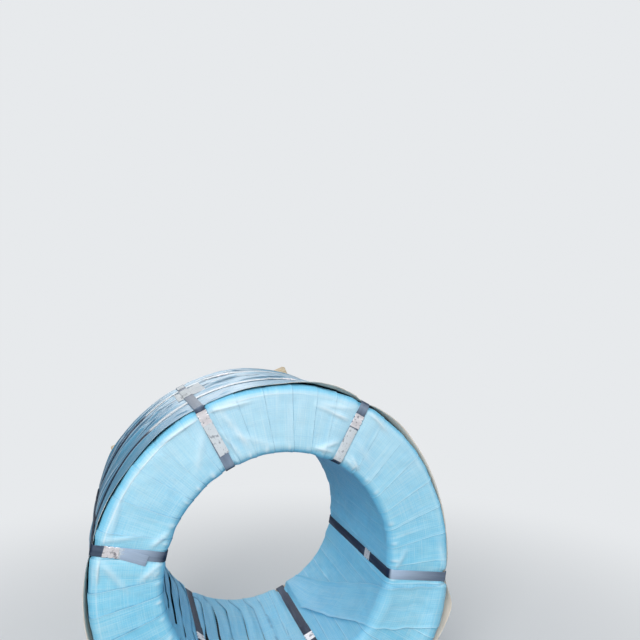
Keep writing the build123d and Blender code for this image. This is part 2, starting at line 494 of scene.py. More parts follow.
# Folds on the front face: start and end as radius and angle, width, height
FRONT_FOLDS = [
    ((0.552, 111.0), (0.402, 104.5), 0.007, 0.0034),
    ((0.572, 112.6), (0.560, 100.0), 0.006, 0.0034),
    ((0.490, 113.8), (0.382, 109.0), 0.006, 0.0030),
    ((0.590, 112.5), (0.572, 101.0), 0.009, 0.0022),
    ((0.470, 109.0), (0.400, 92.0), 0.010, 0.0018),
    ((0.572, 121.5), (0.585, 133.0), 0.007, 0.0026),
    ((0.520, 120.0), (0.430, 131.0), 0.012, 0.0018),
    ((0.528, 71.0), (0.522, 64.5), 0.005, 0.0046),
    ((0.536, 76.5), (0.528, 66.0), 0.005, 0.0036),
    ((0.560, 66.5), (0.545, 78.0), 0.009, 0.0026),
    ((0.440, 66.0), (0.400, 74.0), 0.007, 0.0036),
    ((0.408, 66.5), (0.404, 74.5), 0.005, 0.0046),
    ((0.578, 57.8), (0.560, 49.0), 0.006, 0.0036),
    ((0.420, 56.0), (0.398, 49.0), 0.005, 0.0042),
    ((0.408, 58.0), (0.392, 51.0), 0.005, 0.0034),
    ((0.470, 57.0), (0.440, 44.0), 0.010, 0.0014),
    ((0.560, 163.5), (0.575, 150.0), 0.008, 0.0022),
    ((0.565, 164.0), (0.480, 161.0), 0.006, 0.0026),
    ((0.430, 163.0), (0.395, 156.0), 0.006, 0.0040),
    ((0.400, 170.5), (0.455, 178.0), 0.007, 0.0040),
    ((0.388, 172.0), (0.420, 177.0), 0.005, 0.0034),
    ((0.560, 171.0), (0.480, 181.0), 0.010, 0.0022),
    ((0.590, 170.0), (0.585, 179.0), 0.007, 0.0034),
    ((0.574, 171.0), (0.570, 177.0), 0.005, 0.0036),
    ((0.580, 354.0), (0.560, 6.0), 0.010, 0.0014),
    ((0.400, 353.5), (0.440, 3.0), 0.008, 0.0020),
    ((0.560, 234.5), (0.500, 246.0), 0.009, 0.0026),
    ((0.420, 235.0), (0.455, 246.0), 0.008, 0.0030),
    ((0.560, 227.5), (0.520, 216.0), 0.009, 0.0026),
    ((0.555, 297.5), (0.500, 308.0), 0.009, 0.0026),
    ((0.420, 290.0), (0.470, 279.0), 0.008, 0.0028),
    ((0.560, 290.5), (0.575, 279.0), 0.008, 0.0026),
]
# How sharply the tape creases over the outer rim of the front face, by angle in degrees; the crease is
# also painted pale there, partly as a highlight
RIM_CREASE = [
    (20, 0.1), (50, 0.15), (70, 0.2), (92, 0.45), (108, 0.8), (118, 1.0), (158, 1.1),
    (166, 0.6), (185, 0.3), (215, 0.15), (260, 0.15), (320, 0.2), (350, 0.1),
]
# How far the packing stands off at the outer rim of the front face: degrees, millimetres
RIM_BULGE = [
    (60, 0), (28, 0), (20, 0), (10, 4), (5, 7), (358, 10), (352, 13), (346.5, 20), (341, 27),
    (337, 31), (330, 34), (322, 28), (312, 14), (304, 5), (296, 0),
]
# How far the turns stand off at the bore's far rim: degrees, millimetres
FAR_RIM_LIFT = [
    (200, 0), (222, 2), (236, 4), (246, 10), (256, 14), (268, 16), (280, 17), (289, 16),
    (300, 15), (312, 10), (325, 6), (345, 0),
]
# How strong the painted shadow beside the seams between turns shows on the front face, by angle in
# degrees
SEAM_DARKNESS = [
    (10, 0.8), (50, 0.8), (62, 1.15), (92, 1.1), (114, 0.45), (122, 0.25), (162, 0.25),
    (172, 0.8), (200, 1.0), (300, 1.0), (340, 0.6),
]
# Where the painted shade in the bore is taken back so the tape keeps its light blue, by angle in
# degrees
LIGHT_IN_BORE = [
    (0, 0), (234, 0), (244, 0.7), (258, 0.75), (268, 0.9), (290, 0.9), (300, 0.45), (316, 0.55),
    (338, 0.55), (347, 0.25),
]
# How far each turn strays from the even pitch, in degrees
TURN_NUDGES = [
    (0, -0.3), (1, -0.2), (2, 0.6), (3, 1.8), (4, 0.7), (5, 1.3), (6, 1.9), (7, 3.0), (8, 0.7),
    (9, 0.0), (10, 0.6), (11, 0.9), (12, -0.4), (13, 0.5), (14, 1.2), (15, 0.4), (16, 1.4),
    (17, 3.1), (18, 1.6), (19, 3.2), (20, 1.0), (21, 0.4), (22, 0.2), (23, 0.0), (24, -0.6),
    (25, 0.0), (26, 0.2), (27, 0.0), (28, -0.7), (29, -0.4), (30, 0.6), (31, -0.5), (32, 0.3),
    (33, 0.8), (34, -0.4), (35, 0.2), (36, 0.9), (37, -0.3), (38, 0.2), (39, -0.4), (40, -0.3),
    (41, -0.2), (42, 0.6), (43, 1.0),
]
# Turns that hang loose in the bore: angle in degrees and how loose
LOOSE_TURNS = [
    (188, 0.0), (196, 0.55), (204, 1.0), (214, 1.0), (223, 0.93), (232, 0.86), (241, 1.03),
    (250, 1.0), (259, 0.92), (268, 0.96), (277, 0.80), (286, 0.3), (293, 0.0), (30, 0.0),
]
# Edges of the loose last turn: place along the section in metres from the outer rim, and
# the angles of its upper and lower edge in degrees
LOOSE_EDGES = [
    (-0.02, 348.6, 335.4), (0.01, 348.0, 333.8), (0.09, 346.2, 329.2), (0.18, 344.1, 323.7),
    (0.226, 342.7, 321.1), (0.36, 335.0, 312.5), (0.58, 320.8, 299.2), (0.61, 319.2, 297.3),
    (0.66, 316.0, 295.0), (0.80, 307.9, 294.0), (0.84, 306.0, 294.0),
]


def tape_finish(colour):
    """Light blue woven plastic tape: a faint grid, stretch marks and dust, with painted sheen,
    highlights, shade and seam shadows.
    """
    finish = Finish("woven tape")
    sheet, along, across = finish.sheet()
    where = finish.place()
    warp = finish.noise(finish.stretch(sheet, (5, 210, 1)), 1.0, 2.0)
    weft = finish.noise(finish.stretch(sheet, (210, 5, 1)), 1.0, 2.0)
    strain = finish.noise(finish.stretch(sheet, (4, 34, 1)), 1.0, 4.0, 0.6)
    patch = finish.noise(where, 6.0, 4.0)
    dust = finish.noise(where, 26.0, 6.0, 0.65)
    threads = finish.band(warp, 0.50, 0.64).most(finish.band(weft, 0.52, 0.66))
    gaps = finish.band(warp, 0.44, 0.34).most(finish.band(weft, 0.42, 0.32))
    columns, rows = (
        finish.band((place * (math.pi / pitch)).sine().size(), 0.42, 0.10)
        for place, pitch in zip((along, across), TAPE_GRID)
    )
    grid = rows.most(columns) * finish.band(strain, 0.30, 0.54)
    lap = finish.layer("lap")
    shadow = finish.band(lap, -0.0048, 0.0003) * finish.band(lap, 0.010, 0.005)
    shadow = shadow * finish.band(finish.noise(where, 17.0, 3.0), 0.36, 0.58)
    pale = tuple(0.34 + 0.66 * part for part in colour)
    deep = shaded(colour, (0.62, 0.86, 0.96))
    base = finish.coats(
        colour,
        (finish.band(patch, 0.34, 0.66) * 0.55, deep),
        (finish.band(strain, 0.50, 0.72) * 0.32, pale),
        (threads * 0.28, pale),
        (grid * 0.30, pale),
        (gaps * 0.40, deep),
        # Painted pale sheen, stronger higher up on the tape
        (finish.layer("veil") * 0.32, (0.86, 0.88, 0.90)),
        # Paler on folds and creases: partly stress whitening of the plastic, partly a painted highlight
        # on their crests
        ((finish.layer("crease") * 0.66).clamp(), (0.80, 0.91, 0.96)),
        # Painted highlight: a pale line along the first edge of each turn, where it stands raised
        (finish.band(across, 0.0042, 0.0012) * 0.55, pale),
        # Painted shade: a deeper blue in the bore and over the bend of the outer rim
        (finish.layer("deep") * 0.50, shaded(colour, (0.40, 0.74, 0.92))),
        (shadow * finish.layer("seam") * 0.52, shaded(colour, (0.30, 0.45, 0.58))),
        (finish.band(dust, 0.56, 0.82) * 0.16, (0.50, 0.58, 0.63)),
    )
    grain = woven_height(along, across) * 0.6 + warp * 0.6 + weft * 0.6
    normal = finish.relief(
        (grain + 0.5 * grid, 0.0005, 0.6),
        (strain, 0.0028, 0.45),
        (finish.noise(where, 60.0, 3.0), 0.0018, 0.5),
    )
    rough = 0.34 + 0.16 * patch + 0.12 * finish.band(dust, 0.5, 0.8)
    return finish.set(
        Base_Color=base, Roughness=rough, Normal=normal, Specular_IOR_Level=0.45,
    )


def section_table(settings):
    """Round of the section from the middle of its outside, over the front face, through
    the bore and back over the rear face.

    Gives the radius, place along the axis and outward side of its points, the length up
    to each point and the length of the whole round."""
    outer, inner, half = TAPE_RADIUS, TAPE_BORE, TAPE_FACE
    rim, bore_rim = settings.rim_bend, settings.bore_bend
    by_rim, by_crease, by_bore = outer - rim, outer - rim - CREASE_STRIP, inner + bore_rim
    rows = []

    def straight(start, end, normal, part):
        count = max(2, int(round(math.dist(start, end) / TAPE_STEPS[part])))
        for share in np.arange(count) / count:
            point = [a + (b - a) * share for a, b in zip(start, end)]
            rows.append((*point, *normal))

    def bend(centre, radius, first, last, part):
        count = max(4, int(round(radius * math.pi / 2 / TAPE_STEPS[part])))
        for share in np.arange(count) / count:
            angle = math.radians(first + (last - first) * share)
            out = (math.cos(angle), math.sin(angle))
            rows.append((centre[0] + radius * out[0], centre[1] + radius * out[1], *out))

    straight((outer, 0), (outer, rim - half), (1, 0), "outside front")
    bend((by_rim, rim - half), rim, 0, -90, "front rim")
    straight((by_rim, -half), (by_crease, -half), (0, -1), "crease")
    straight((by_crease, -half), (by_bore, -half), (0, -1), "face")
    bend((by_bore, bore_rim - half), bore_rim, -90, -180, "bend")
    straight((inner, bore_rim - half), (inner, half - bore_rim), (-1, 0), "bore")
    bend((by_bore, half - bore_rim), bore_rim, 180, 90, "bend")
    straight((by_bore, half), (by_rim, half), (0, 1), "face")
    bend((by_rim, half - rim), rim, 90, 0, "bend")
    straight((outer, half - rim), (outer, 0), (1, 0), "outside back")
    table = np.array(rows)
    gaps = np.linalg.norm(np.diff(table[:, :2], axis=0, append=table[:1, :2]), axis=1)
    run = np.concatenate([[0], np.cumsum(gaps)])
    return table, run[:-1], run[-1]


def fold_field(points, folds, plane):
    """Height of ridges that lie along short lines on one face."""
    total = np.zeros(points.shape[:-1])
    for start, end, width, height in folds:
        first = turned(math.radians(start[1]), start[0], plane)
        last = turned(math.radians(end[1]), end[0], plane)
        line = last - first
        share = np.clip((points - first) @ line / (line @ line), -0.25, 1.25)
        nearest = first + share[..., None] * line
        apart = np.linalg.norm(points - nearest, axis=-1)
        taper = 1 - smooth(np.abs(share - 0.4), 0.1, 0.8)
        total += height * taper * np.exp(-(apart / width) ** 2)
    return total


def back_folds(seed):
    """Folds beside each strap on the rear face."""
    random = np.random.default_rng(seed)
    folds = []
    for middle in STRAP_ANGLES.values():
        for side in (-1, 1):
            for _ in range(3):
                radius = random.uniform(0.41, 0.58)
                away = side * random.uniform(9, 17)
                end = radius + random.uniform(-0.08, 0.08)
                start_angle = math.degrees(middle) + side * 2.6
                folds.append((
                    (radius, start_angle), (min(max(end, 0.39), 0.585), start_angle + away),
                    random.uniform(0.009, 0.016), random.uniform(0.0018, 0.0036),
                ))
    return folds


def strap_pull(points, angle, radius):
    """How the packing gives way under the straps and swells beside them."""
    total = np.zeros(points.shape[:-1])
    for middle in STRAP_ANGLES.values():
        aside = radius * np.abs(np.sin(wrapped(angle - middle)))
        near = np.abs(wrapped(angle - middle)) < math.pi / 2
        press = -0.0022 * (1 - smooth(aside, 0.016, 0.030))
        swell = 0.0022 * np.exp(-((aside - 0.050) / 0.020) ** 2)
        total += np.where(near, press + swell, 0)
    return total


def off_straps(angle, radius):
    """0 under the straps round the section and 1 well beside them."""
    clear = np.full(angle.shape, 0.05)
    for middle in STRAP_ANGLES.values():
        clear = np.minimum(clear, radius * np.abs(wrapped(angle - middle)))
    return smooth(clear, 0.014, 0.031)


def tape_relief(points, angle, radius):
    """Relief that all the turns of tape share, so that they never cut each other.

    Gives the height and how sharply the tape is folded there, from 0 to 1."""
    free = off_straps(angle, radius)
    folds = fold_field(points, FRONT_FOLDS, -FACE) + fold_field(points, back_folds(31), FACE)
    from_rim = radius - COVER_RADIUS + 0.0285 + 0.0012 * waves(points, 0.05, 0.20, 14)
    rim = np.exp(-(from_rim / 0.0024) ** 2)
    rim *= profile(angle, RIM_CREASE) * smooth(np.abs(points[..., 1]), FACE - 0.02, FACE - 0.004)
    bulge = profile(angle, RIM_BULGE) / 1000 * smooth(-points[..., 1], 0.16, FACE - 0.02)
    relief = 0.0012 * waves(points, 0.10, 0.24, 11) + 0.0006 * waves(points, 0.028, 0.070, 12)
    relief += 2.3 * folds + 0.0013 * rim + bulge * smooth(radius, 0.525, 0.605)
    far = profile(angle, FAR_RIM_LIFT) / 1000 * smooth(points[..., 1], 0.02, 0.27)
    relief += far * (1 - smooth(radius, BORE_RADIUS + 0.010, BORE_RADIUS + 0.045))
    return relief * free + strap_pull(points, angle, radius), (folds / 0.004 + 1.1 * rim) * free


def tape_tones(points, angle, radius):
    """Where the tape gets a painted pale sheen higher up, painted shade in the bore and over the bend
    of the outer rim, and how strong the painted shadow beside its seams is.
    """
    bore = 1 - smooth(radius, BORE_RADIUS + 0.006, BORE_RADIUS + 0.024)
    # Painted pale sheen, rising with height and kept out of the bore
    top_sheen = smooth(points[..., 2], -0.10, 0.62) * (1 - bore)
    # Painted shade in the bore, lifted where the tape is to stay light, and over the outer rim's bend
    bore = bore * (1 - profile(angle, LIGHT_IN_BORE))
    bend = smooth(radius, COVER_RADIUS - 0.024, COVER_RADIUS - 0.010)
    bend *= 1 - smooth(np.degrees(angle) % 360, 290, 320)
    seam = np.maximum(profile(angle, SEAM_DARKNESS), 1 - smooth(radius, 0.395, 0.43))
    return {"veil": top_sheen * (1 - bend), "deep": np.maximum(bore, 0.8 * bend), "seam": seam}


def tuck_height(radius, out_y, share, turn):
    """Small tucks where each turn is drawn in round the rim of the bore."""
    near_rim = np.exp(-((radius - BORE_RADIUS - 0.020) / 0.011) ** 2)
    near_rim = near_rim * smooth(np.abs(out_y), 0.3, 0.9)
    wave = np.sin(np.floor(turn + 0.5) * 12.9898) * 43758.5453
    pick = wave - np.floor(wave)
    place = 0.03 + 0.14 * pick
    shape = np.exp(-((share - place[:, None]) / 0.028) ** 2)
    amount = (0.0010 + 0.0042 * pick) * near_rim
    return amount[:, None] * shape


def edge_height(settings, points, across, share):
    """How the first edge of a turn stands off the turn under it."""
    curl = np.exp(-across / 0.004) * (0.6 + 0.5 * waves(points, 0.05, 0.12, 21))
    return settings.lap_lift * (1 - share) + 0.0011 * curl * (1 - smooth(share, 0.25, 0.5))


def sag_height(points, share, stray):
    """How a loose turn hangs and gathers between its edges."""
    gather = np.sin(share * FULL_TURN * 1.5 + 5 * waves(points * (1, 0.25, 1), 0.5, 1.2, 22))
    sag = np.sin(share * math.pi) * 0.0030 + 0.0016 * gather
    return 0.0018 + sag * (0.7 + 0.5 * stray[:, None])


def turn_place(settings, turn, in_bore):
    """Angle of the middle of a turn, how loose it hangs and how wide it lies."""
    numbers, nudges = zip(*TURN_NUDGES)
    centre = math.radians(11.2) + math.radians(360 / settings.turns) * turn
    centre = centre + np.radians(np.interp(turn, numbers, nudges))
    loose = profile(centre, LOOSE_TURNS) * in_bore
    return centre, loose, settings.tape_width * (1 - 0.59 * loose)


def lay_tape(name, settings, first_turn, turns, finish):
    """One roll of tape, laid round the section for some turns."""
    table, run, loop = section_table(settings)
    rows = len(table)
    count = int(round(turns * rows)) + 1
    number = np.arange(count) + int(round(first_turn * rows))
    spot = number % rows
    turn = number // rows + run[spot] / loop
    radius, along, out_r, out_y = table[spot].T
    in_bore = smooth(-out_r, 0.55, 0.98) * smooth(settings.half_bore - np.abs(along), 0, 0.09)
    centre, loose, width = turn_place(settings, turn, in_bore)
    columns = np.array(TAPE_COLUMNS) / 1000
    share = (columns / columns[-1])[None, :]
    across = width[:, None] * share
    stray = waves(turned(centre, radius, along), 0.10, 0.40, 23) * loose
    start = centre - width / 2 / radius + 0.0035 * stray / radius
    angle = start[:, None] + across * (1 + 0.05 * stray[:, None]) / radius[:, None]
    spread = np.broadcast_to(radius[:, None], angle.shape)
    level = np.broadcast_to(along[:, None], angle.shape)
    points = turned(angle, spread, level)
    next_centre, _, next_width = turn_place(settings, turn + 1, in_bore)
    lap = (angle - (next_centre - next_width / 2 / radius)[:, None]) * spread

    height = edge_height(settings, points, across, share)
    height += loose[:, None] * sag_height(points, share, stray) * off_straps(angle, spread)
    relief, sharp = tape_relief(points, angle, spread)
    height += relief * (1 - 0.5 * loose[:, None])
    clear = smooth(np.abs(wrapped(centre - math.radians(334))), 0.25, 0.33)
    tuck = tuck_height(radius, out_y, share, turn) * clear[:, None]
    height += tuck
    room = 0.0036 + cover_lift(angle, level)
    height -= smooth(out_r, 0.55, 0.95)[:, None] * np.maximum(height - room, 0)

    distance = (number // rows) * loop + run[spot]
    uv = np.stack(np.broadcast_arrays(distance[:, None], columns[None, :]), axis=-1)
    layers = {
        "crease": np.clip(sharp + tuck / 0.004, 0, 1), "lap": np.clip(lap, -0.1, 0.1),
        **tape_tones(points, angle, spread),
    }
    points = turned(angle, spread + out_r[:, None] * height, level + out_y[:, None] * height)
    made = grid_mesh(name, points, uv, layers=layers)
    made.data.materials.append(finish)
    return made


def lay_loose_turn(settings, finish):
    """A last turn of tape that lies slanted over the others, from the rim into the bore."""
    table, run, _ = section_table(settings)
    rim = run[np.argmax(table[:, 2] < 0.5)]
    inside = (run > rim - 0.02) & (run < rim + 0.84)
    radius, along, out_r, out_y = table[inside].T
    place = run[inside] - rim
    stops, upper, lower = zip(*LOOSE_EDGES)
    high = np.radians(np.interp(place, stops, upper))
    low = np.radians(np.interp(place, stops, lower))
    share = np.linspace(0, 1, 36)[None, :]
    edge = 0.0016 * waves(turned(low, radius, along), 0.03, 0.12, 25) / radius
    angle = (low + edge)[:, None] * (1 - share) + (high + edge)[:, None] * share
    spread = np.broadcast_to(radius[:, None], angle.shape)
    level = np.broadcast_to(along[:, None], angle.shape)
    points = turned(angle, spread, level)

    ends = smooth(place, -0.02, 0.015) * (1 - smooth(place, 0.78, 0.84))
    lift = 0.0040 + 0.0012 * waves(points, 0.05, 0.16, 26)
    lift += 0.0036 * np.exp(-((share - 1) / 0.05) ** 2) + 0.0030 * np.exp(-(share / 0.04) ** 2)
    over_rim = np.exp(-((place - 0.205) / 0.045) ** 2)
    lift += 0.0024 * over_rim[:, None] * np.sin(share * math.pi)
    height = 0.0026 + lift * ends[:, None] + tape_relief(points, angle, spread)[0]
    aside = spread * np.abs(wrapped(angle - STRAP_ANGLES["cross_strap_6"]))
    held = 1 - smooth(aside, 0.014, 0.036)
    height = height * (1 - held) + 0.0007 * held

    points = turned(angle, spread + out_r[:, None] * height, level + out_y[:, None] * height)
    uv = np.stack(np.broadcast_arrays(
        place[:, None], np.minimum(share, 1 - share) * settings.tape_width
    ), axis=-1)
    tones = tape_tones(points, angle, spread)
    # The loose turn gets some painted pale sheen all along, in the bore too
    tones["veil"] = np.maximum(tones["veil"], 0.18)
    made = grid_mesh("tape_loose_turn", points, uv, layers={
        "crease": np.zeros(angle.shape), "lap": np.full(angle.shape, -0.1), **tones,
    })
    made.data.materials.append(finish)
    return made


class CoilTapeSettings(bpy.types.PropertyGroup):
    """Sizes and colour of the woven tape."""

    turns: bpy.props.IntProperty(
        name="Turns", description="Turns of tape round the section", default=40, min=8,
    )
    rolls: bpy.props.IntProperty(
        name="Rolls", description="Rolls of tape that the turns come from", default=5, min=4,
    )
    tape_width: bpy.props.FloatProperty(
        name="Width", description="Width of the tape", default=0.140, unit="LENGTH",
    )
    lap_lift: bpy.props.FloatProperty(
        name="Lap Lift", description="Height of a turn's edge over the turn under it",
        default=0.0027, unit="LENGTH",
    )
    rim_bend: bpy.props.FloatProperty(
        name="Rim Bend", description="Radius of the bend over the outer rim",
        default=0.022, unit="LENGTH",
    )
    bore_bend: bpy.props.FloatProperty(
        name="Bore Bend", description="Radius of the bend over the rim of the bore",
        default=0.028, unit="LENGTH",
    )
    half_bore: bpy.props.FloatProperty(
        name="Half Bore", description="Half of the straight length of the bore",
        default=0.292, unit="LENGTH",
    )
    colour: bpy.props.FloatVectorProperty(
        name="Colour", description="Colour of the woven tape", size=3, subtype="COLOR",
        default=(0.26, 0.655, 0.85), min=0, max=1,
    )


class COIL_OT_tape(bpy.types.Operator):
    """Laps the woven tape round the section of the coil"""

    bl_idname = "coil.tape"
    bl_label = "Woven Tape"

    def execute(self, context):
        settings = context.scene.coil_tape
        finish = tape_finish(tuple(settings.colour))
        turns = settings.turns / settings.rolls
        for number in range(settings.rolls):
            name = f"tape_roll_{number + 1}"
            roll = lay_tape(name, settings, 1 + number * turns, turns, finish)
            keep(roll, "woven_tape", *(["tape_wrap"] if number == 0 else []))
        keep(lay_loose_turn(settings, finish), "woven_tape")
        return {"FINISHED"}


# Cover sheet

# Rows of points round the cover, and its columns as shares of half its width, closer
# towards the front
COVER_ROWS = 320
COVER_COLUMNS = np.concatenate([np.linspace(-1, 0.1, 96), np.linspace(0.1, 1, 50)[1:]])
# Stand-off of the front edge: angle in degrees and distance in millimetres
FRONT_EDGE_LIFT = [
    (350.5, 3), (347, 18), (344, 43), (341, 61), (337, 62), (333, 58), (330, 53), (325, 40),
    (319, 22), (308, 8), (294, 0.5), (284, 3), (277, 1), (270, 0.3), (263, 1), (254, 4),
    (240, 3), (231, 0.5), (220, 5), (205, 8), (192, 10), (182, 8), (173, 3), (167.3, 0.5),
    (160, 5), (150, 2), (140, 1.5), (130, 5), (122, 2), (116.9, 0.5), (110, 0.8), (98, 0.8),
    (90, 1.5), (84, 6), (78, 14), (72, 15), (66, 10), (61.5, 0.5), (58, 5), (52, 9), (46, 13),
    (42, 11), (38, 6), (32, 2), (26, 2.5), (18, 2.5), (11, 3), (2, 5), (355, 6),
]
BACK_EDGE_LIFT = [
    (350.5, 0.5), (335, 9), (315, 5), (294, 0.5), (284, 3), (277, 1), (270, 0.3), (263, 1),
    (252, 6), (231, 0.5), (212, 8), (190, 5), (167.3, 0.5), (152, 9), (135, 6), (116.9, 0.5),
    (100, 7), (82, 4), (61.5, 0.5), (40, 8), (20, 12), (5, 6),
]
# How far the cover's very edges curl out and show their pale backing, by angle in degrees
EDGE_CURL = [
    (10, 0.9), (50, 1.0), (85, 0.9), (100, 0.4), (116, 0.1), (135, 0.2), (150, 0.4), (165, 0.4),
    (175, 0.8), (190, 1.0), (230, 0.9), (262, 0.2), (278, 0.2), (310, 0.6), (335, 0.2),
]
# Long folds of the cover: angle in degrees and place along the axis at both ends, width,
# height and which side is steep
COVER_FOLDS = [
    (112.5, -0.006, 92.0, 0.104, 0.0085, 0.0062, -1), (112.5, 0.012, 99.0, 0.060, 0.006, 0.0045, -1),
    (119.0, 0.102, 134.0, 0.052, 0.008, 0.0062, 1), (133.5, 0.030, 152.0, 0.048, 0.008, 0.0065, 1),
    (113.6, -0.305, 103.5, -0.200, 0.006, 0.0042, 1), (117.0, -0.290, 125.0, -0.205, 0.006, 0.0040, -1),
    (113.5, -0.040, 97.0, -0.062, 0.006, 0.0042, 1), (113.0, 0.150, 90.0, 0.300, 0.009, 0.0060, -1),
    (121.0, 0.020, 141.0, -0.050, 0.007, 0.0050, -1), (121.0, 0.160, 147.0, 0.120, 0.007, 0.0055, 1),
    (120.5, -0.070, 133.0, -0.060, 0.006, 0.0040, 1), (163.0, -0.060, 145.0, -0.080, 0.007, 0.0050, -1),
    (163.0, 0.090, 146.0, 0.085, 0.007, 0.0050, 1), (164.0, -0.230, 148.0, -0.215, 0.006, 0.0030, 1),
    (150.0, 0.255, 122.0, 0.270, 0.008, 0.0055, -1), (105.0, 0.240, 84.0, 0.205, 0.007, 0.0045, 1),
    (100.0, -0.075, 78.0, -0.020, 0.007, 0.0045, -1), (92.0, 0.020, 74.0, 0.060, 0.008, 0.0045, 1),
]


def drawn_folds(angle, along):
    """Height of the long folds that the straps draw in the cover, each with a steep side."""
    total = np.zeros(angle.shape)
    for first, start, last, end, width, height, lean in COVER_FOLDS:
        share = (np.degrees(angle) % 360 - first) / (last - first)
        line = start + (end - start) * share + 0.004 * np.sin(share * 7 + first)
        slant = abs(end - start) / (COVER_RADIUS * math.radians(abs(last - first)))
        offset = (along - line) / (width * math.hypot(1, 1.4 * slant))
        side = offset * (1 + 0.7 * lean / (1 + 1.6 * slant) * np.sign(offset))
        fade = smooth(share, -0.1, 0.15) * (1 - smooth(share, 0.6, 1.1))
        total += height * fade * np.exp(-side ** 2)
    return total


def girth_wrinkles(angle, along, seed, count):
    """Height of random wrinkles that run round the girth, each with a steep side."""
    random = np.random.default_rng(seed)
    total = np.zeros(angle.shape)
    for _ in range(count):
        middle = math.radians(random.uniform(0, 360))
        if random.random() < 0.45:
            middle = math.radians(random.uniform(80, 200))
        place = random.uniform(-0.30, 0.30)
        reach = math.radians(random.uniform(7, 26))
        slope = random.normal(0, 0.06)
        bow = random.normal(0, 0.05)
        width = random.uniform(0.0035, 0.0085)
        height = random.uniform(0.0010, 0.0038)
        lean = random.choice((-1, 1)) * random.uniform(0.2, 0.75)
        aside = wrapped(angle - middle)
        line = place + slope * aside + bow * aside ** 2
        offset = (along - line) / width
        side = offset * (1 + lean * np.sign(offset))
        fade = np.clip(1 - (aside / reach) ** 2, 0, 1)
        calm = 0.25 if -0.33 < place < -0.17 and 1.4 < middle < 2.8 else 1.0
        total += calm * height * fade * np.exp(-side ** 2)
    return total


def crease_of(height):
    """Where a sheet is sharply folded: 1 on crests, 0 on flat cloth."""
    aside = 2 * height - np.roll(height, 1, 1) - np.roll(height, -1, 1)
    aside[:, 0] = aside[:, -1] = 0
    sharp = np.clip(aside / 0.0012, 0, 1)
    return 0.5 * sharp + 0.25 * (np.roll(sharp, 1, 0) + np.roll(sharp, -1, 0))


def under_strap(along, angle):
    """1 under a strap and 0 beside it."""
    held = np.zeros(angle.shape)
    for name in GIRTH_STRAPS:
        middle = node_place(name)[2]
        held = np.maximum(held, 1 - smooth(np.abs(along - middle), 0.014, 0.024))
    for middle in STRAP_ANGLES.values():
        aside = COVER_RADIUS * np.abs(wrapped(angle - middle))
        held = np.maximum(held, 1 - smooth(aside, 0.015, 0.034))
    return held


def cover_edge(angle):
    """Place of the cover's uneven edges along the axis, as a distance from the middle."""
    around = turned(angle, COVER_RADIUS, 0 * angle)
    return HALF_COVER + 0.0035 * waves(around, 0.10, 0.35, 41)


def cover_lift(angle, along):
    """Stand-off of the cover near its two edges."""
    lift = np.where(
        along < 0, profile(angle, FRONT_EDGE_LIFT), profile(angle, BACK_EDGE_LIFT)
    ) / 1000
    inward = np.maximum(cover_edge(angle) - np.abs(along), 0)
    held = smooth(inward, 0.08, 0.16)
    return lift * np.exp(-(inward / (0.026 + 0.8 * lift)) ** 1.3) * (1 - held)


def cover_surface(settings, angle, along):
    """Radius of the cover's face at its points, and the relief of its wrinkles alone."""
    points = turned(angle, COVER_RADIUS, along)
    free = 1 - under_strap(along, angle)
    wrinkle = drawn_folds(angle, along) + girth_wrinkles(angle, along, 42, settings.wrinkles)
    relief = np.minimum(wrinkle, 0.0085) * (0.05 + 0.95 * free)
    relief += np.maximum(0.0008 + 0.0012 * waves(points * (1, 2, 1), 0.12, 0.3, 43), 0) * free
    radius = COVER_RADIUS - 0.0010 + relief + cover_lift(angle, along)
    inward = cover_edge(angle) - np.abs(along)
    radius += 0.0028 * free * np.exp(-inward / 0.0025) * profile(angle, EDGE_CURL)
    on_floor = (-cad_low.z - 0.0008) / np.maximum(-np.sin(angle), 0.1)
    return np.minimum(radius, on_floor), relief


def cover_rows(count):
    """Angles of the cover's rows of points, closer by the straps and the slanting folds.

    They start under a strap, which hides where the sheet's own map begins and ends."""
    even = STRAP_ANGLES["cross_strap_1"] + np.linspace(0, FULL_TURN, 2000)
    density = 1 + 2.2 * smooth(even, 1.2, 1.4) * (1 - smooth(even, 2.9, 3.1))
    for middle in STRAP_ANGLES.values():
        density += 2.0 * np.exp(-(wrapped(even - middle) * COVER_RADIUS / 0.035) ** 2)
    total = np.concatenate([[0], np.cumsum((density[1:] + density[:-1]) / 2)])
    return np.interp(np.arange(count) / count * total[-1], total, even)


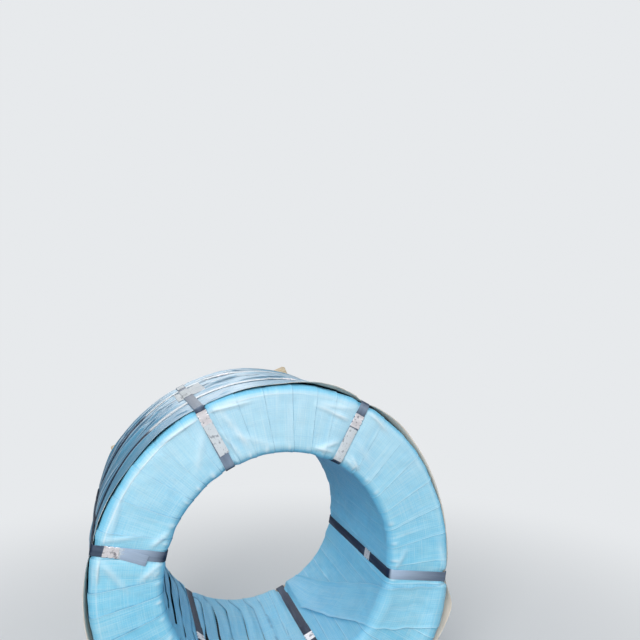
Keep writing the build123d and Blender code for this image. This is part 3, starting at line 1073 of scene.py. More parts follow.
def cover_finish(colour):
    """Blue laminated sheet with a glossy face, drawn into streaks, with painted highlights on its fold
    crests and painted shadow in the hollows between them.
    """
    finish = Finish("cover face")
    sheet, along, across = finish.sheet()
    where = finish.place()
    streak = finish.noise(finish.stretch(sheet, (2.2, 52, 1)), 1.0, 5.0, 0.6)
    scratch = finish.noise(finish.stretch(sheet, (7, 240, 1)), 1.0, 3.0, 0.6)
    patch = finish.noise(where, 5.0, 4.0)
    worn = finish.band(finish.noise(where, 9.0, 3.0), 0.44, 0.54)
    lip = finish.band(finish.layer("inside"), 0.0034, 0.0016)
    lip = lip * (worn * 0.4 + finish.layer("curl") * 0.8).clamp()
    pale = (0.66, 0.74, 0.80)
    deep = shaded(colour, (0.52, 0.68, 0.80))
    base = finish.coats(
        colour,
        (finish.band(patch, 0.35, 0.70) * 0.5, deep),
        (finish.band(streak, 0.52, 0.72) * 0.38, pale),
        (finish.band(streak, 0.46, 0.30) * 0.45, deep),
        # Painted highlight on the crests of the folds
        ((finish.layer("crease") * 0.60).clamp(), pale),
        (finish.band(scratch, 0.62, 0.80) * 0.25, pale),
        # Painted shadow in the hollows between the folds
        ((finish.layer("slit") * 0.85).clamp(), (0.02, 0.05, 0.10)),
        (lip * 0.85, (0.80, 0.78, 0.73)),
    )
    normal = finish.relief(
        (woven_height(along, across), 0.00025, 0.35),
        (streak, 0.0026, 0.6),
        (scratch, 0.0006, 0.5),
    )
    rough = 0.27 + 0.16 * patch + 0.14 * finish.band(scratch, 0.5, 0.8)
    return finish.set(
        Base_Color=base, Roughness=rough, Normal=normal, Specular_IOR_Level=0.5,
        Coat_Weight=0.15, Coat_Roughness=0.20,
    )


def lining_finish():
    """Paper side of the cover sheet, cream at its edges and dark further in with painted shade."""
    finish = Finish("cover lining")
    where = finish.place()
    base = finish.mix(finish.noise(where, 18.0, 4.0), (0.90, 0.77, 0.66), (0.78, 0.66, 0.56))
    # Painted shade: the lining goes dark further in from the edge
    painted_shade = finish.band(finish.layer("inside"), 0.022, 0.060)
    base = finish.mix(painted_shade, base, (0.05, 0.06, 0.09))
    normal = finish.relief((finish.noise(where, 240.0, 3.0), 0.0004, 0.5))
    return finish.set(Base_Color=base, Roughness=0.75, Normal=normal)


class CoilCoverSettings(bpy.types.PropertyGroup):
    """Sizes and colour of the cover sheet."""

    thickness: bpy.props.FloatProperty(
        name="Thickness", description="Thickness of the lined sheet",
        default=0.0009, unit="LENGTH",
    )
    wrinkles: bpy.props.IntProperty(
        name="Wrinkles", description="Long wrinkles round the girth", default=120, min=0,
    )
    colour: bpy.props.FloatVectorProperty(
        name="Colour", description="Colour of the cover sheet", size=3, subtype="COLOR",
        default=(0.11, 0.35, 0.53), min=0, max=1,
    )


class COIL_OT_cover(bpy.types.Operator):
    """Lays the lined sheet round the outside of the coil"""

    bl_idname = "coil.cover"
    bl_label = "Cover Sheet"

    def execute(self, context):
        settings = context.scene.coil_cover
        angle, share = np.broadcast_arrays(cover_rows(COVER_ROWS)[:, None], COVER_COLUMNS)
        along = share * cover_edge(angle)
        radius, relief = cover_surface(settings, angle, along)
        uv = np.stack([angle * COVER_RADIUS, along], axis=-1)
        made = grid_mesh("cover_sheet", turned(angle, radius, along), uv, wrap=True, layers={
            # Crests get a painted highlight and hollows a painted shadow
            "crease": crease_of(relief), "slit": crease_of(-relief),
            "inside": cover_edge(angle) - np.abs(along), "curl": profile(angle, EDGE_CURL),
        })
        made.data.materials.append(cover_finish(tuple(settings.colour)))
        made.data.materials.append(lining_finish())
        made = thicken(made, settings.thickness, inner_slot=1)
        keep(made, "cover_sheet", "outer_cover")
        return {"FINISHED"}


# Strand

def strand_finish():
    """Dull drawn wire with the lay of its six outer wires."""
    finish = Finish("bare strand")
    lay_length = 0.22
    lay = (finish.layer("along") * (FULL_TURN * 6 / lay_length) + finish.layer("around") * 6).sine()
    tone = finish.noise(finish.place(), 30.0, 4.0)
    base = finish.mix(tone, (0.16, 0.17, 0.18), (0.30, 0.31, 0.32))
    # Painted shade: the grooves between the wires are darkened
    base = finish.mix(finish.band(lay, -0.5, -0.95) * 0.8, base, (0.03, 0.03, 0.035))
    normal = finish.relief((lay, 0.0016, 0.9))
    rough = 0.38 + 0.2 * tone
    return finish.set(Base_Color=base, Roughness=rough, Metallic=0.85, Normal=normal)


def strand_recipe():
    """Rings of strand, one for each point, with the radius that the point holds."""
    recipe = Recipe("strand turns", Strand="Float", Material="Material")
    ring = recipe.get("CurvePrimitiveCircle", "Curve", None, {"Resolution": 88, "Radius": 1.0})
    values = {"Geometry": ring, "Rotation": (math.pi / 2, 0, 0)}
    ring = recipe.get("Transform", "Geometry", None, values)
    size = recipe.named("radius")
    scale = recipe.get("ShaderNodeCombineXYZ", "Vector", None, {"X": size, "Y": 1.0, "Z": size})
    rings = recipe.place_on_points(ring, Scale=scale)
    rings = recipe.store(rings, "along", recipe.get("SplineParameter", "Length"))
    values = {"Resolution": 8, "Radius": recipe.given("Strand") * 0.5}
    wire = recipe.get("CurvePrimitiveCircle", "Curve", None, values)
    share = recipe.get("SplineParameter", "Factor")
    wire = recipe.store(wire, "around", share * FULL_TURN)
    return recipe.finish(recipe.sweep(rings, wire))


def strand_places(strand):
    """Radii and places along the axis of the outermost turns of strand."""
    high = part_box("strand_coil")[1]
    outer, half = high.x, high.y
    inner = np.hypot(*node_points("strand_coil")[:, (0, 2)].T).min()
    places = []
    rows = int((2 * half - 0.022) // strand)
    for row in range(rows):
        y = (row - (rows - 1) / 2) * strand
        places += [(inner + strand / 2, y), (outer - strand / 2, y)]
    layers = int((outer - inner - 3 * strand) // strand)
    for layer in range(layers):
        radius = inner + strand * 1.9 + layer * (outer - inner - 3.8 * strand) / (layers - 1)
        places += [(radius, half - strand / 2), (radius, strand / 2 - half)]
    return np.array(places).T


class CoilStrandSettings(bpy.types.PropertyGroup):
    """Size of the strand."""

    diameter: bpy.props.FloatProperty(
        name="Diameter", description="Diameter of the strand", default=0.01524, unit="LENGTH",
    )


class COIL_OT_strand(bpy.types.Operator):
    """Winds the outermost turns of the strand, which show between the turns of tape"""

    bl_idname = "coil.strand"
    bl_label = "Strand"

    def execute(self, context):
        strand = context.scene.coil_strand.diameter
        radii, along = strand_places(strand)
        source = path_mesh("strand_turns", along[:, None] * AXIS, joined=False, radius=radii)
        turns = grow(source, strand_recipe(), strand=strand, material=strand_finish())
        keep(turns, "bare_strand", "strand_coil")
        return {"FINISHED"}


# Strapping

# Points on each rounded bend of a strap, and the steps between the bends
BEND_POINTS = 9
STRAP_STEP = 0.010
# Length by which a strap's start sticks out of its seal
STRAP_START = 0.008
# Wall of a seal, width of its lips under the strap, and the place and half width of the
# notches crimped into it
SEAL_WALL = 0.0008
SEAL_LIP = 0.0065
NOTCH_PLACES = (-0.0085, 0.0085)
NOTCH_HALF = 0.0042
# For each strap round the section: length of its tail, how far its end stands off, sideways
# drift of the tail in degrees, and how bare the metal is at lengths from its seal, in metres
STRAP_ENDS = {
    "cross_strap_1": (0.060, 0.001, 0.0, [(0, 0.1)]),
    "cross_strap_2": (
        0.122, 0.0015, 1.0,
        [(0.0, 0.0), (0.0255, 0.0), (0.030, 1.0), (0.10, 0.95), (0.15, 0.8)],
    ),
    "cross_strap_3": (
        0.110, 0.002, -2.0,
        [(-0.05, 0.0), (-0.02, 0.2), (0.02, 1.1), (0.10, 1.0), (0.13, 0.7), (0.15, 0.3)],
    ),
    "cross_strap_4": (0.086, 0.003, 9.0, [(0.0, 0.0), (0.025, 0.6), (0.04, 0.3), (0.06, 0.0)]),
    "cross_strap_5": (0.060, 0.001, 0.0, [(0, 0.1)]),
    "cross_strap_6": (0.060, 0.001, 0.0, [(0, 0.1)]),
}
# Painted pale reflection on a strap: amounts at radii on the front face, the amount over the cover
STRAP_REFLECTION = {
    "cross_strap_1": ([(0.378, 1.1), (0.41, 1.0), (0.47, 0.72), (0.54, 0.45), (0.58, 0.3)], 0.3),
    "cross_strap_2": ([(0.56, 0.2), (0.585, 0.55), (0.60, 0.1)], 0.1),
    "cross_strap_3": ([(0.378, 0.55), (0.42, 0.45), (0.55, 0.2), (0.575, 0.0), (0.586, 0.05)], 0.25),
    "cross_strap_4": ([(0.385, 0.05), (0.41, 0.45), (0.45, 0.75), (0.54, 0.95), (0.57, 0.1)], 0.0),
    "cross_strap_5": ([(0.40, 0.1)], 0.1),
    "cross_strap_6": ([(0.40, 0.2)], 0.2),
}


def strap_finish():
    """Dark blue lacquered strapping, rubbed bare in places, with painted pale reflections on parts of
    it.
    """
    finish = Finish("lacquered strap")
    along, across = finish.layer("along"), finish.layer("across")
    where = finish.place()
    scratch, cloud = (
        finish.noise(
            finish.get("CombineXYZ", "Vector", None, {"X": along * long, "Y": across * wide}),
            1.0, 4.0, 0.6,
        )
        for long, wide in ((9, 420), (3.2, 30))
    )
    speck = finish.noise(where, 210.0, 3.0)
    blot = finish.noise(where, 75.0, 4.0, 0.65)
    edge = finish.band(across.size(), 0.0146, 0.0158)
    worn = finish.band(scratch, 0.60, 0.74) * 0.4 + edge * finish.band(speck, 0.46, 0.60) * 0.5
    # Painted pale reflection on parts of the strap, from the layer that its line holds
    reflection_share = (finish.layer("film") + (cloud - 0.5) * 0.5).clamp() * (0.75 + 0.35 * scratch)
    # Bare metal rubbed through the lacquer, and on the girth straps also a painted bright reflection
    rubbed_and_sheen = finish.layer("bare") + (blot - 0.5) * 1.1 + (scratch - 0.5) * 0.6
    rubbed_and_sheen = finish.band(rubbed_and_sheen, 0.40, 0.70)
    base = finish.coats(
        finish.mix(cloud, (0.008, 0.014, 0.036), (0.026, 0.044, 0.088)),
        (worn.clamp(), (0.13, 0.18, 0.27)),
        (reflection_share.clamp(), (0.47, 0.59, 0.76)),
        (rubbed_and_sheen, (0.70, 0.75, 0.79)),
        (rubbed_and_sheen * finish.band(blot, 0.56, 0.68) * 0.75, (0.25, 0.28, 0.33)),
        (rubbed_and_sheen * finish.band(speck, 0.64, 0.72) * 0.7, (0.10, 0.11, 0.14)),
    )
    normal = finish.relief((scratch, 0.0004, 0.5), (blot, 0.0008, 0.3))
    rough = 0.34 + 0.18 * cloud + 0.14 * rubbed_and_sheen
    return finish.set(
        Base_Color=base, Roughness=rough, Metallic=0.15 + 0.30 * rubbed_and_sheen, Normal=normal,
        Specular_IOR_Level=0.10, Coat_Weight=0.04, Coat_Roughness=0.16,
    )


def strap_recipe():
    """Flat strap with rounded edges along a line whose points hold its outward side."""
    recipe = Recipe("strapping", Width="Float", Thickness="Float", Material="Material")
    line = recipe.get("MeshToCurve", "Curve", None, {"Mesh": recipe.given("Geometry")})
    values = {"Curve": line, "Normal": recipe.named("out", "FLOAT_VECTOR")}
    line = recipe.get("SetCurveNormal", "Curve", {"mode": "FREE"}, values)
    line = recipe.store(line, "along", recipe.get("SplineParameter", "Length"))
    width, thickness = recipe.given("Width"), recipe.given("Thickness")
    values = {"Width": thickness, "Height": width}
    band = recipe.get("CurvePrimitiveQuadrilateral", "Curve", {"mode": "RECTANGLE"}, values)
    values = {"Curve": band, "Count": 2, "Radius": thickness * 0.42}
    band = recipe.get("FilletCurve", "Curve", {"mode": "POLY"}, values)
    across = recipe.parts(recipe.get("InputPosition", "Position"))[1]
    band = recipe.store(band, "across", across)
    return recipe.finish(recipe.sweep(line, band, **{"Fill Caps": True}))


def bend_at(corners, radii, number):
    """Centre of the rounded bend at a corner of a closed outline, its start and its end."""
    corner = corners[number % len(corners)]
    radius = radii[number % len(corners)]
    sides = [corners[(number + step) % len(corners)] - corner for step in (-1, 1)]
    before, after = (side / np.linalg.norm(side) for side in sides)
    half = math.acos(np.clip(before @ after, -1, 1)) / 2
    reach = radius / math.tan(half)
    bisector = before + after
    centre = corner + bisector / np.linalg.norm(bisector) * radius / math.sin(half)
    return centre, corner + before * reach, corner + after * reach


def rounded_line(corners, radii):
    """Points, outward directions and lengths along a closed outline with rounded bends.

    The outline runs inwards over the front, back through the bore and outwards behind."""
    corners = [np.array(corner, dtype=float) for corner in corners]
    points, outs = [], []
    for number, radius in enumerate(radii):
        centre, start, end = bend_at(corners, radii, number)
        first = math.atan2(*(start - centre)[::-1])
        sweep = wrapped(math.atan2(*(end - centre)[::-1]) - first)
        for share in np.linspace(0, 1, BEND_POINTS):
            angle = first + sweep * share
            out = np.array([math.cos(angle), math.sin(angle)])
            points.append(centre + radius * out)
            outs.append(out * -np.sign(sweep))
        stop = bend_at(corners, radii, number + 1)[1]
        between = int(np.linalg.norm(stop - end) / STRAP_STEP)
        for step in range(1, between + 1):
            points.append(end + (stop - end) * step / (between + 1))
            outs.append(outs[-1])
    points, outs = np.array(points), np.array(outs)
    gaps = np.linalg.norm(np.roll(points, -1, axis=0) - points, axis=1)
    run = np.concatenate([[0], np.cumsum(gaps)])
    return points, outs, run


def along_outline(outline, lengths):
    """Points and outward directions at lengths along a closed outline."""
    points, outs, run = outline
    spots = np.mod(lengths, run[-1])
    place, out = (
        np.stack([np.interp(spots, run, np.append(row, row[0])) for row in values.T], -1)
        for values in (points, outs)
    )
    return place, out / np.linalg.norm(out, axis=-1, keepdims=True)


def section_outline(name, thickness):
    """Middle line of a strap round the section: radius and place along the axis."""
    points = node_points(name)
    radius = points @ directions(STRAP_ANGLES[name])[0]
    y = points[:, 1]
    half = thickness / 2
    front = -FACE - FACE_GAP - half
    back = FACE + FACE_GAP + half
    inner = BORE_RADIUS + BORE_GAP - half
    outer = radius.max() - half
    corners = [(outer, front), (inner, front), (inner, back)]
    bends = [0.013, 0.022, 0.022]
    if y.max() > back + 0.01:
        top = y.max() - half
        high = radius[y > y.max() - 0.002]
        corners += [(high.min() + 0.001, top), (high.max() - 0.001, top)]
        bends += [0.004, 0.004]
    corners.append((outer, back))
    bends.append(0.013)
    return rounded_line(corners, bends)


def length_at(outline, spot):
    """Length along an outline at which it passes a spot."""
    points, _, run = outline
    nearest = int(np.argmin(np.linalg.norm(points - spot, axis=1)))
    step = points[(nearest + 1) % len(points)] - points[nearest]
    share = (spot - points[nearest]) @ step / (step @ step)
    return run[nearest] + share * np.linalg.norm(step)


def strap_stations(settings, run, seal_spot, tail):
    """Lengths along the outline of a strap's points, from its start to its lapped end."""
    start = seal_spot - settings.seal_length / 2 - STRAP_START
    end = seal_spot + run[-1] + settings.seal_length / 2 + tail
    stations = np.concatenate([run[:-1] + lap * run[-1] for lap in range(3)])
    stations = stations[(stations > start + 0.003) & (stations < end - 0.003)]
    by_seal = np.arange(seal_spot + run[-1] - 0.05, end, 0.006)
    stations = np.sort(np.concatenate([[start], stations, by_seal, [end]]))
    return stations[np.concatenate([[True], np.diff(stations) > 0.0012])]


def lap_height(settings, from_seal):
    """Height of a strap's end where it climbs over its start."""
    foot = -settings.seal_length / 2
    return smooth(from_seal, foot - 0.034, foot - 0.010) * settings.thickness * 1.08


def strap_line(settings, name):
    """Points, outward sides, wear and painted reflection of a strap round the section with a lapped
    end.
    """
    tail, stand, drift, bare_stops = STRAP_ENDS[name]
    outline = section_outline(name, settings.thickness)
    run = outline[2]
    _, seal_radius, seal_y = node_place(name.replace("strap", "seal"))
    seal_spot = length_at(outline, np.array([seal_radius, seal_y]))
    if seal_spot < settings.seal_length / 2 + STRAP_START:
        seal_spot += run[-1]
    stations = strap_stations(settings, run, seal_spot, tail)
    place, out = along_outline(outline, stations)
    from_seal = stations - seal_spot - run[-1]
    free = smooth(from_seal, settings.seal_length / 2, settings.seal_length / 2 + tail)
    flat = (np.abs(out) > 0.999).any(axis=1)
    seed = int(name[-1])
    spots = np.stack([stations, 0 * stations, 0 * stations], -1)
    height = lap_height(settings, from_seal) + stand * free ** 2
    height += 0.00022 * waves(spots, 0.05, 0.16, 60 + seed, 6) * flat
    place = place + out * height[:, None]
    sway = waves(spots, 0.5, 1.6, 80 + seed, 5)
    aside = 0.0012 * sway * (1 - np.exp(-(from_seal / 0.05) ** 2)) * (from_seal < -0.05)
    aside += np.maximum(from_seal - 0.02, 0) * math.tan(math.radians(drift))
    outward, sideways = directions(STRAP_ANGLES[name])
    points = place[:, :1] * outward + place[:, 1:] * AXIS + aside[:, None] * sideways
    outs = out[:, :1] * outward + out[:, 1:] * AXIS
    lengths, amounts = zip(*bare_stops)
    bare = np.interp(from_seal, lengths, amounts, left=0, right=0)
    # Painted pale reflection on the front face and over the cover
    reflection_stops, cover_reflection = STRAP_REFLECTION[name]
    radii, reflection_amounts = zip(*reflection_stops)
    film = np.interp(place[:, 0], radii, reflection_amounts) * smooth(-out[:, 1], 0.55, 0.95)
    film += cover_reflection * smooth(out[:, 0], 0.5, 0.9)
    return points, outs, {"bare": bare, "film": film}


def girth_line(settings, name):
    """Points, outward sides, wear and painted reflection of a strap round the girth with a lapped end.
    """
    seal_angle, _, y = node_place(name.replace("strap", "seal"))
    radius = COVER_RADIUS + COVER_GAP + settings.thickness / 2
    tail = 0.050
    first = -(settings.seal_length / 2 + STRAP_START) / radius
    last = FULL_TURN + (settings.seal_length / 2 + tail) / radius
    turn = np.linspace(first, last, 420)
    from_seal = (turn - FULL_TURN) * radius
    angle = seal_angle + turn
    seed = 90 + int(name[-1])
    spots = turned(angle, radius, 0 * angle + y)
    height = lap_height(settings, from_seal)
    height += 0.002 * smooth(from_seal, settings.seal_length / 2, 0.09) ** 2
    height += 0.0002 * waves(spots, 0.05, 0.2, seed)
    sway = 0.0035 * waves(spots, 0.5, 1.6, seed + 5, 4)
    sway *= 1 - np.exp(-(wrapped(turn) / 0.12) ** 2)
    points = turned(angle, radius + height, y + sway)
    degrees = np.degrees(angle) % 360
    # Painted bright reflection on the girth strap between about 50 and 134 degrees, given as pale
    # reflection and as the bright rubbed colour
    film = smooth(degrees, 50, 92) * (1 - smooth(degrees, 131.5, 134.5))
    return points, turned(angle, 1.0, 0 * angle), {"bare": 0.9 * film, "film": film}


def seal_clip(settings):
    """Seal folded round two layers of strap: x along the strap, y across, z outwards."""
    length = settings.seal_length
    half = settings.width / 2 + 0.0001
    wall = SEAL_WALL
    top = 2 * settings.thickness + 0.0003
    outline = [
        (-half + SEAL_LIP, -wall), (-half + 0.0030, -wall), (-half, -wall),
        (-half - 0.6 * wall, -0.6 * wall), (-half - wall, 0.0002),
        (-half - wall, top * 0.5), (-half - wall, top), (-half - 0.6 * wall, top + 0.6 * wall),
        (-half, top + wall), (-half + 0.002, top + wall), (-half + 0.005, top + wall),
        (-half + 0.009, top + wall), (-0.004, top + wall),
    ]
    lining = [
        (half - SEAL_LIP, 0.0), (half - 0.0030, 0.0), (half, 0.0), (half, top * 0.5),
        (half, top), (half - 0.004, top),
    ]
    for side in (outline, lining):
        side += [(-x, z) for x, z in reversed(side)]
    section = np.array(outline + lining)
    place = np.linspace(-length / 2, length / 2, 47)
    x, y = np.meshgrid(place, section[:, 0])
    z = np.repeat(section[:, 1:], len(place), axis=1)
    for middle in NOTCH_PLACES:
        for side in (-1, 1):
            notch = np.clip(1 - np.abs(x - middle) / NOTCH_HALF, 0, 1)
            edge = smooth(side * y, half - SEAL_LIP, half + wall)
            y -= side * settings.crimp_depth * notch * edge
            z += 0.0011 * np.sin(np.clip((x - middle) / NOTCH_HALF, -1, 1) * math.pi) * edge
    z += 0.0004 * np.cos(x / length * 3 * math.pi) * (z > top)
    x += 0.0006 * np.sin(y * 180) * np.sign(x) * (np.abs(x) > length / 2 - 0.002)
    return grid_mesh("seal_clip", np.stack([x, y, z], axis=-1), wrap=True, flip=True)


def seal_finish():
    """Zinc-plated seal with dark rubbed marks."""
    finish = Finish("seal steel")
    where = finish.place()
    spangle = finish.noise(where, 160.0, 3.0)
    rub = finish.noise(where, 55.0, 5.0, 0.65)
    brushed = finish.noise(finish.place((40, 300, 300)), 1.0, 3.0)
    base = finish.coats(
        finish.mix(spangle, (0.70, 0.67, 0.70), (0.92, 0.88, 0.90)),
        (finish.band(rub, 0.55, 0.65) * 0.72, (0.13, 0.13, 0.16)),
        (finish.band(brushed, 0.60, 0.75) * 0.5, (0.90, 0.88, 0.88)),
    )
    normal = finish.relief((spangle, 0.0004, 0.6), (rub, 0.0010, 0.6))
    rough = 0.32 + 0.22 * rub
    return finish.set(Base_Color=base, Roughness=rough, Metallic=0.45, Normal=normal)


def seal_recipe():
    """Seal on each point, turned to lie along its strap, with small dents of its own."""
    recipe = Recipe("seals", Clip="Object", Seed="Float", Material="Material")
    clip = recipe.get("ObjectInfo", "Geometry", None, {"Object": recipe.given("Clip")})
    values = {"Vector": recipe.named("away", "FLOAT_VECTOR")}
    turn = recipe.get("FunctionNodeAlignRotationToVector", "Rotation", {"axis": "Z"}, values)
    values = {"Rotation": turn, "Vector": recipe.named("along", "FLOAT_VECTOR")}
    settings = {"axis": "X", "pivot_axis": "Z"}
    turn = recipe.get("FunctionNodeAlignRotationToVector", "Rotation", settings, values)
    seals = recipe.place_on_points(clip, Rotation=turn)
    values = {"W": recipe.given("Seed"), "Scale": 45.0, "Detail": 1.0}
    dent = recipe.get("ShaderNodeTexNoise", "Color", {"noise_dimensions": "4D"}, values)
    values = {0: dent, 1: (0.5, 0.5, 0.5)}
    dent = recipe.get("ShaderNodeVectorMath", "Vector", {"operation": "SUBTRACT"}, values)
    values = {0: dent, "Scale": 0.0018}
    dent = recipe.get("ShaderNodeVectorMath", "Vector", {"operation": "SCALE"}, values)
    seals = recipe.get("SetPosition", "Geometry", None, {"Geometry": seals, "Offset": dent})
    return recipe.finish(seals)


def seal_stand(name):
    """Place of a seal, its outward side and the direction of its strap."""
    angle, radius, y = node_place(name)
    outward, sideways = directions(angle)
    if name.startswith("girth"):
        return outward * (COVER_RADIUS + COVER_GAP) + AXIS * y, outward, sideways
    if y < -FACE + 0.01:
        return outward * radius - AXIS * (FACE + FACE_GAP), FRONTWARDS, outward
    return outward * (BORE_RADIUS + BORE_GAP) + AXIS * y, -outward, AXIS


class CoilStrappingSettings(bpy.types.PropertyGroup):
    """Sizes of the steel strapping and its seals."""

    width: bpy.props.FloatProperty(
        name="Width", description="Width of the strap", default=0.032, unit="LENGTH",
    )
    thickness: bpy.props.FloatProperty(
        name="Thickness", description="Thickness of the strap", default=0.001, unit="LENGTH",
    )
    seal_length: bpy.props.FloatProperty(
        name="Seal Length", description="Length of a seal", default=0.046, unit="LENGTH",
    )
    crimp_depth: bpy.props.FloatProperty(
        name="Crimp Depth", description="Depth of the notches crimped into a seal",
        default=0.0028, unit="LENGTH",
    )


class COIL_OT_strapping(bpy.types.Operator):
    """Draws the steel straps round the coil and folds their seals"""

    bl_idname = "coil.strapping"
    bl_label = "Strapping"

    def execute(self, context):
        settings = context.scene.coil_strapping
        strapping, lacquer = strap_recipe(), strap_finish()
        seals, zinc = seal_recipe(), seal_finish()
        clip = seal_clip(settings)
        for name in CROSS_STRAPS + GIRTH_STRAPS:
            line = strap_line if name in STRAP_ANGLES else girth_line
            # Each strap's line also carries its wear and its painted reflection
            points, outs, wear_and_reflection = line(settings, name)
            source = path_mesh(name.replace("strap", "strap_line"), points, out=outs, **wear_and_reflection)
            strap = grow(
                source, strapping, width=settings.width, thickness=settings.thickness,
                material=lacquer,
            )
            keep(strap, "painted_strap", name)
            seal = name.replace("strap", "seal")
            spot, away, along = seal_stand(seal)
            source = path_mesh(
                name.replace("strap", "seal_clip"), [spot], away=[away], along=[along],
            )
            seed = node_place(seal)[0] * 7
            keep(grow(source, seals, clip=clip, seed=seed, material=zinc), "seal_steel", seal)
        mesh = clip.data
        bpy.data.objects.remove(clip)
        bpy.data.meshes.remove(mesh)
        return {"FINISHED"}


# Timber

# Chamfer of a board's edges
BOARD_EDGE = 0.0035
# Pitch of the saw's marks along a board, and of the rings in its wood
SAW_PITCH = 0.0085
RING_PITCH = 0.0062


def board_place(name):
    """Directions along and across a board, the place of its middle and half of its three
    sizes, with its middle along the axis."""
    flat = node_points(name)[:, (0, 2)]
    low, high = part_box(name)
    spread = np.linalg.eigh(np.cov((flat - flat.mean(axis=0)).T))[1][:, 1]
    spread = spread if spread[0] > 0 else -spread
    side = np.array([-spread[1], spread[0]])
    half_long = np.ptp(flat @ spread) / 2
    half_wide = np.ptp(flat @ side) / 2
    centre = spread * ((flat @ spread).max() + (flat @ spread).min()) / 2
    centre = centre + side * ((flat @ side).max() + (flat @ side).min()) / 2
    level, half_high = (low.y + high.y) / 2, (high.y - low.y) / 2
    return spread, side, centre, level, half_long, half_wide, half_high


def board_ring(half_wide, half_high):
    """Section of a board, with chamfered edges, as a closed ring of points."""
    corners = []
    for side_x, side_y in ((1, 1), (-1, 1), (-1, -1), (1, -1)):
        first = (side_x * half_wide, side_y * (half_high - BOARD_EDGE))
        second = (side_x * (half_wide - BOARD_EDGE), side_y * half_high)
        corners += [first, second] if side_x * side_y > 0 else [second, first]
    ring = []
    for number, corner in enumerate(corners):
        following = corners[(number + 1) % len(corners)]
        count = 1 if math.dist(corner, following) < 0.006 else 9
        for share in np.arange(count) / count:
            ring.append([a + (b - a) * share for a, b in zip(corner, following)])
    return np.array(ring)


def close_ends(made):
    """Closes the open ends of a piece with faces that point outwards."""
    work = bmesh.new()
    work.from_mesh(made.data)
    edges = [edge for edge in work.edges if edge.is_boundary]
    bmesh.ops.holes_fill(work, edges=edges, sides=0)
    bmesh.ops.recalc_face_normals(work, faces=work.faces)
    work.to_mesh(made.data)
    work.free()
    made.data.shade_smooth()


def saw_board(place, number, saw_marks):
    """Board with sawn faces, worn edges and rough ends, at its place on the back face."""
    spread, side, centre, level, half_long, half_wide, half_high = place
    ring = board_ring(half_wide, half_high)
    steps = np.linspace(-half_long, half_long, 150)
    caps = (0.35, 0.7, 0.92)
    stations = np.concatenate([[-half_long] * 3, steps, [half_long] * 3])
    scale = np.concatenate([caps, np.ones(len(steps)), caps[::-1]])
    along = np.broadcast_to(stations[:, None], (len(stations), len(ring)))
    wide = scale[:, None] * ring[None, :, 0]
    tall = scale[:, None] * ring[None, :, 1]
    spots = np.stack([along, wide, tall], axis=-1)
    saw = saw_marks * np.sin(along * FULL_TURN / SAW_PITCH + wide * 30)
    rough = 0.0004 * waves(spots, 0.008, 0.03, 50 + number)
    bow = 0.0012 * waves(spots * (1, 0, 0), 0.6, 1.6, 55 + number)
    nick = np.clip(waves(spots, 0.012, 0.05, 58 + number) - 1.3, 0, 1.5) * 0.0022
    corner = (np.abs(ring) > (half_wide - 0.006, half_high - 0.006)).all(axis=1)
    shrink = np.minimum(saw, 0) + rough - 0.0006 - nick * corner[None, :]
    wide = wide * (1 + shrink / half_wide) + bow * 0.6
    tall = tall * (1 + shrink / half_high)
    ends = 0.0009 * waves(spots * (0, 1, 1), 0.006, 0.03, 61 + number)
    along = along + np.sign(along) * np.where(np.abs(along) >= half_long, ends - 0.001, 0)
    flat = along[..., None] * spread + wide[..., None] * side + centre
    points = np.stack([flat[..., 0], level + tall, flat[..., 1]], axis=-1)
    board = grid_mesh(f"timber_{number}", points.transpose(1, 0, 2), wrap=True)
    close_ends(board)
    return board


def timber_finish(place, number, colour):
    """Rough-sawn softwood with rings round a pith outside the board."""
    spread, _, centre, level, *_ = place
    finish = Finish(f"timber {number}")
    values = {
        "Vector": finish.get("TexCoord", "Object"), "Location": (-centre[0], -level, -centre[1]),
    }
    where = finish.get("Mapping", "Vector", None, values)
    values = {"Vector": where, "Rotation": (0, math.atan2(spread[1], spread[0]), 0)}
    where = finish.get("Mapping", "Vector", None, values)
    sway = finish.noise(finish.stretch(where, (1.6, 7, 7)), 1.0, 3.0)
    _, lift, aside = finish.parts(where)
    lift = lift + 0.055 + number * 0.01
    aside = aside + 0.012 - number * 0.02
    ring = (lift * lift + aside * aside) ** 0.5 + sway * 0.012
    late = finish.band((ring * (FULL_TURN / RING_PITCH)).sine(), 0.35, 0.98)
    fibre = finish.noise(finish.stretch(where, (8, 260, 260)), 1.0, 4.0, 0.6)
    dirt = finish.noise(where, 22.0, 5.0, 0.6)
    base = finish.coats(
        colour,
        (late * 0.7, shaded(colour, (0.70, 0.62, 0.50))),
        (finish.band(fibre, 0.45, 0.75) * 0.4, (0.80, 0.72, 0.58)),
        (finish.band(dirt, 0.52, 0.78) * 0.45, (0.30, 0.25, 0.19)),
    )
    normal = finish.relief((fibre, 0.0007, 0.7), (late, 0.0004, 0.5))
    return finish.set(Base_Color=base, Roughness=0.78, Normal=normal)


class CoilTimberSettings(bpy.types.PropertyGroup):
    """Finish of the timber skids."""

    colour: bpy.props.FloatVectorProperty(
        name="Colour", description="Colour of the sawn timber", size=3, subtype="COLOR",
        default=(0.66, 0.54, 0.38), min=0, max=1,
    )
    saw_marks: bpy.props.FloatProperty(
        name="Saw Marks", description="Depth of the marks left by the saw",
        default=0.0003, unit="LENGTH",
    )


class COIL_OT_timber(bpy.types.Operator):
    """Saws the two skids that lie across the back face"""

    bl_idname = "coil.timber"
    bl_label = "Timber Skids"

    def execute(self, context):
        settings = context.scene.coil_timber
        for number, name in enumerate(SKID_BOARDS, 1):
            place = board_place(name)
            board = saw_board(place, number, settings.saw_marks)
            board.data.materials.append(timber_finish(place, number, tuple(settings.colour)))
            keep(board, "timber", name)
        return {"FINISHED"}


# Paper

# Pitch of the faint rules on the label
RULE_PITCH = 0.0125
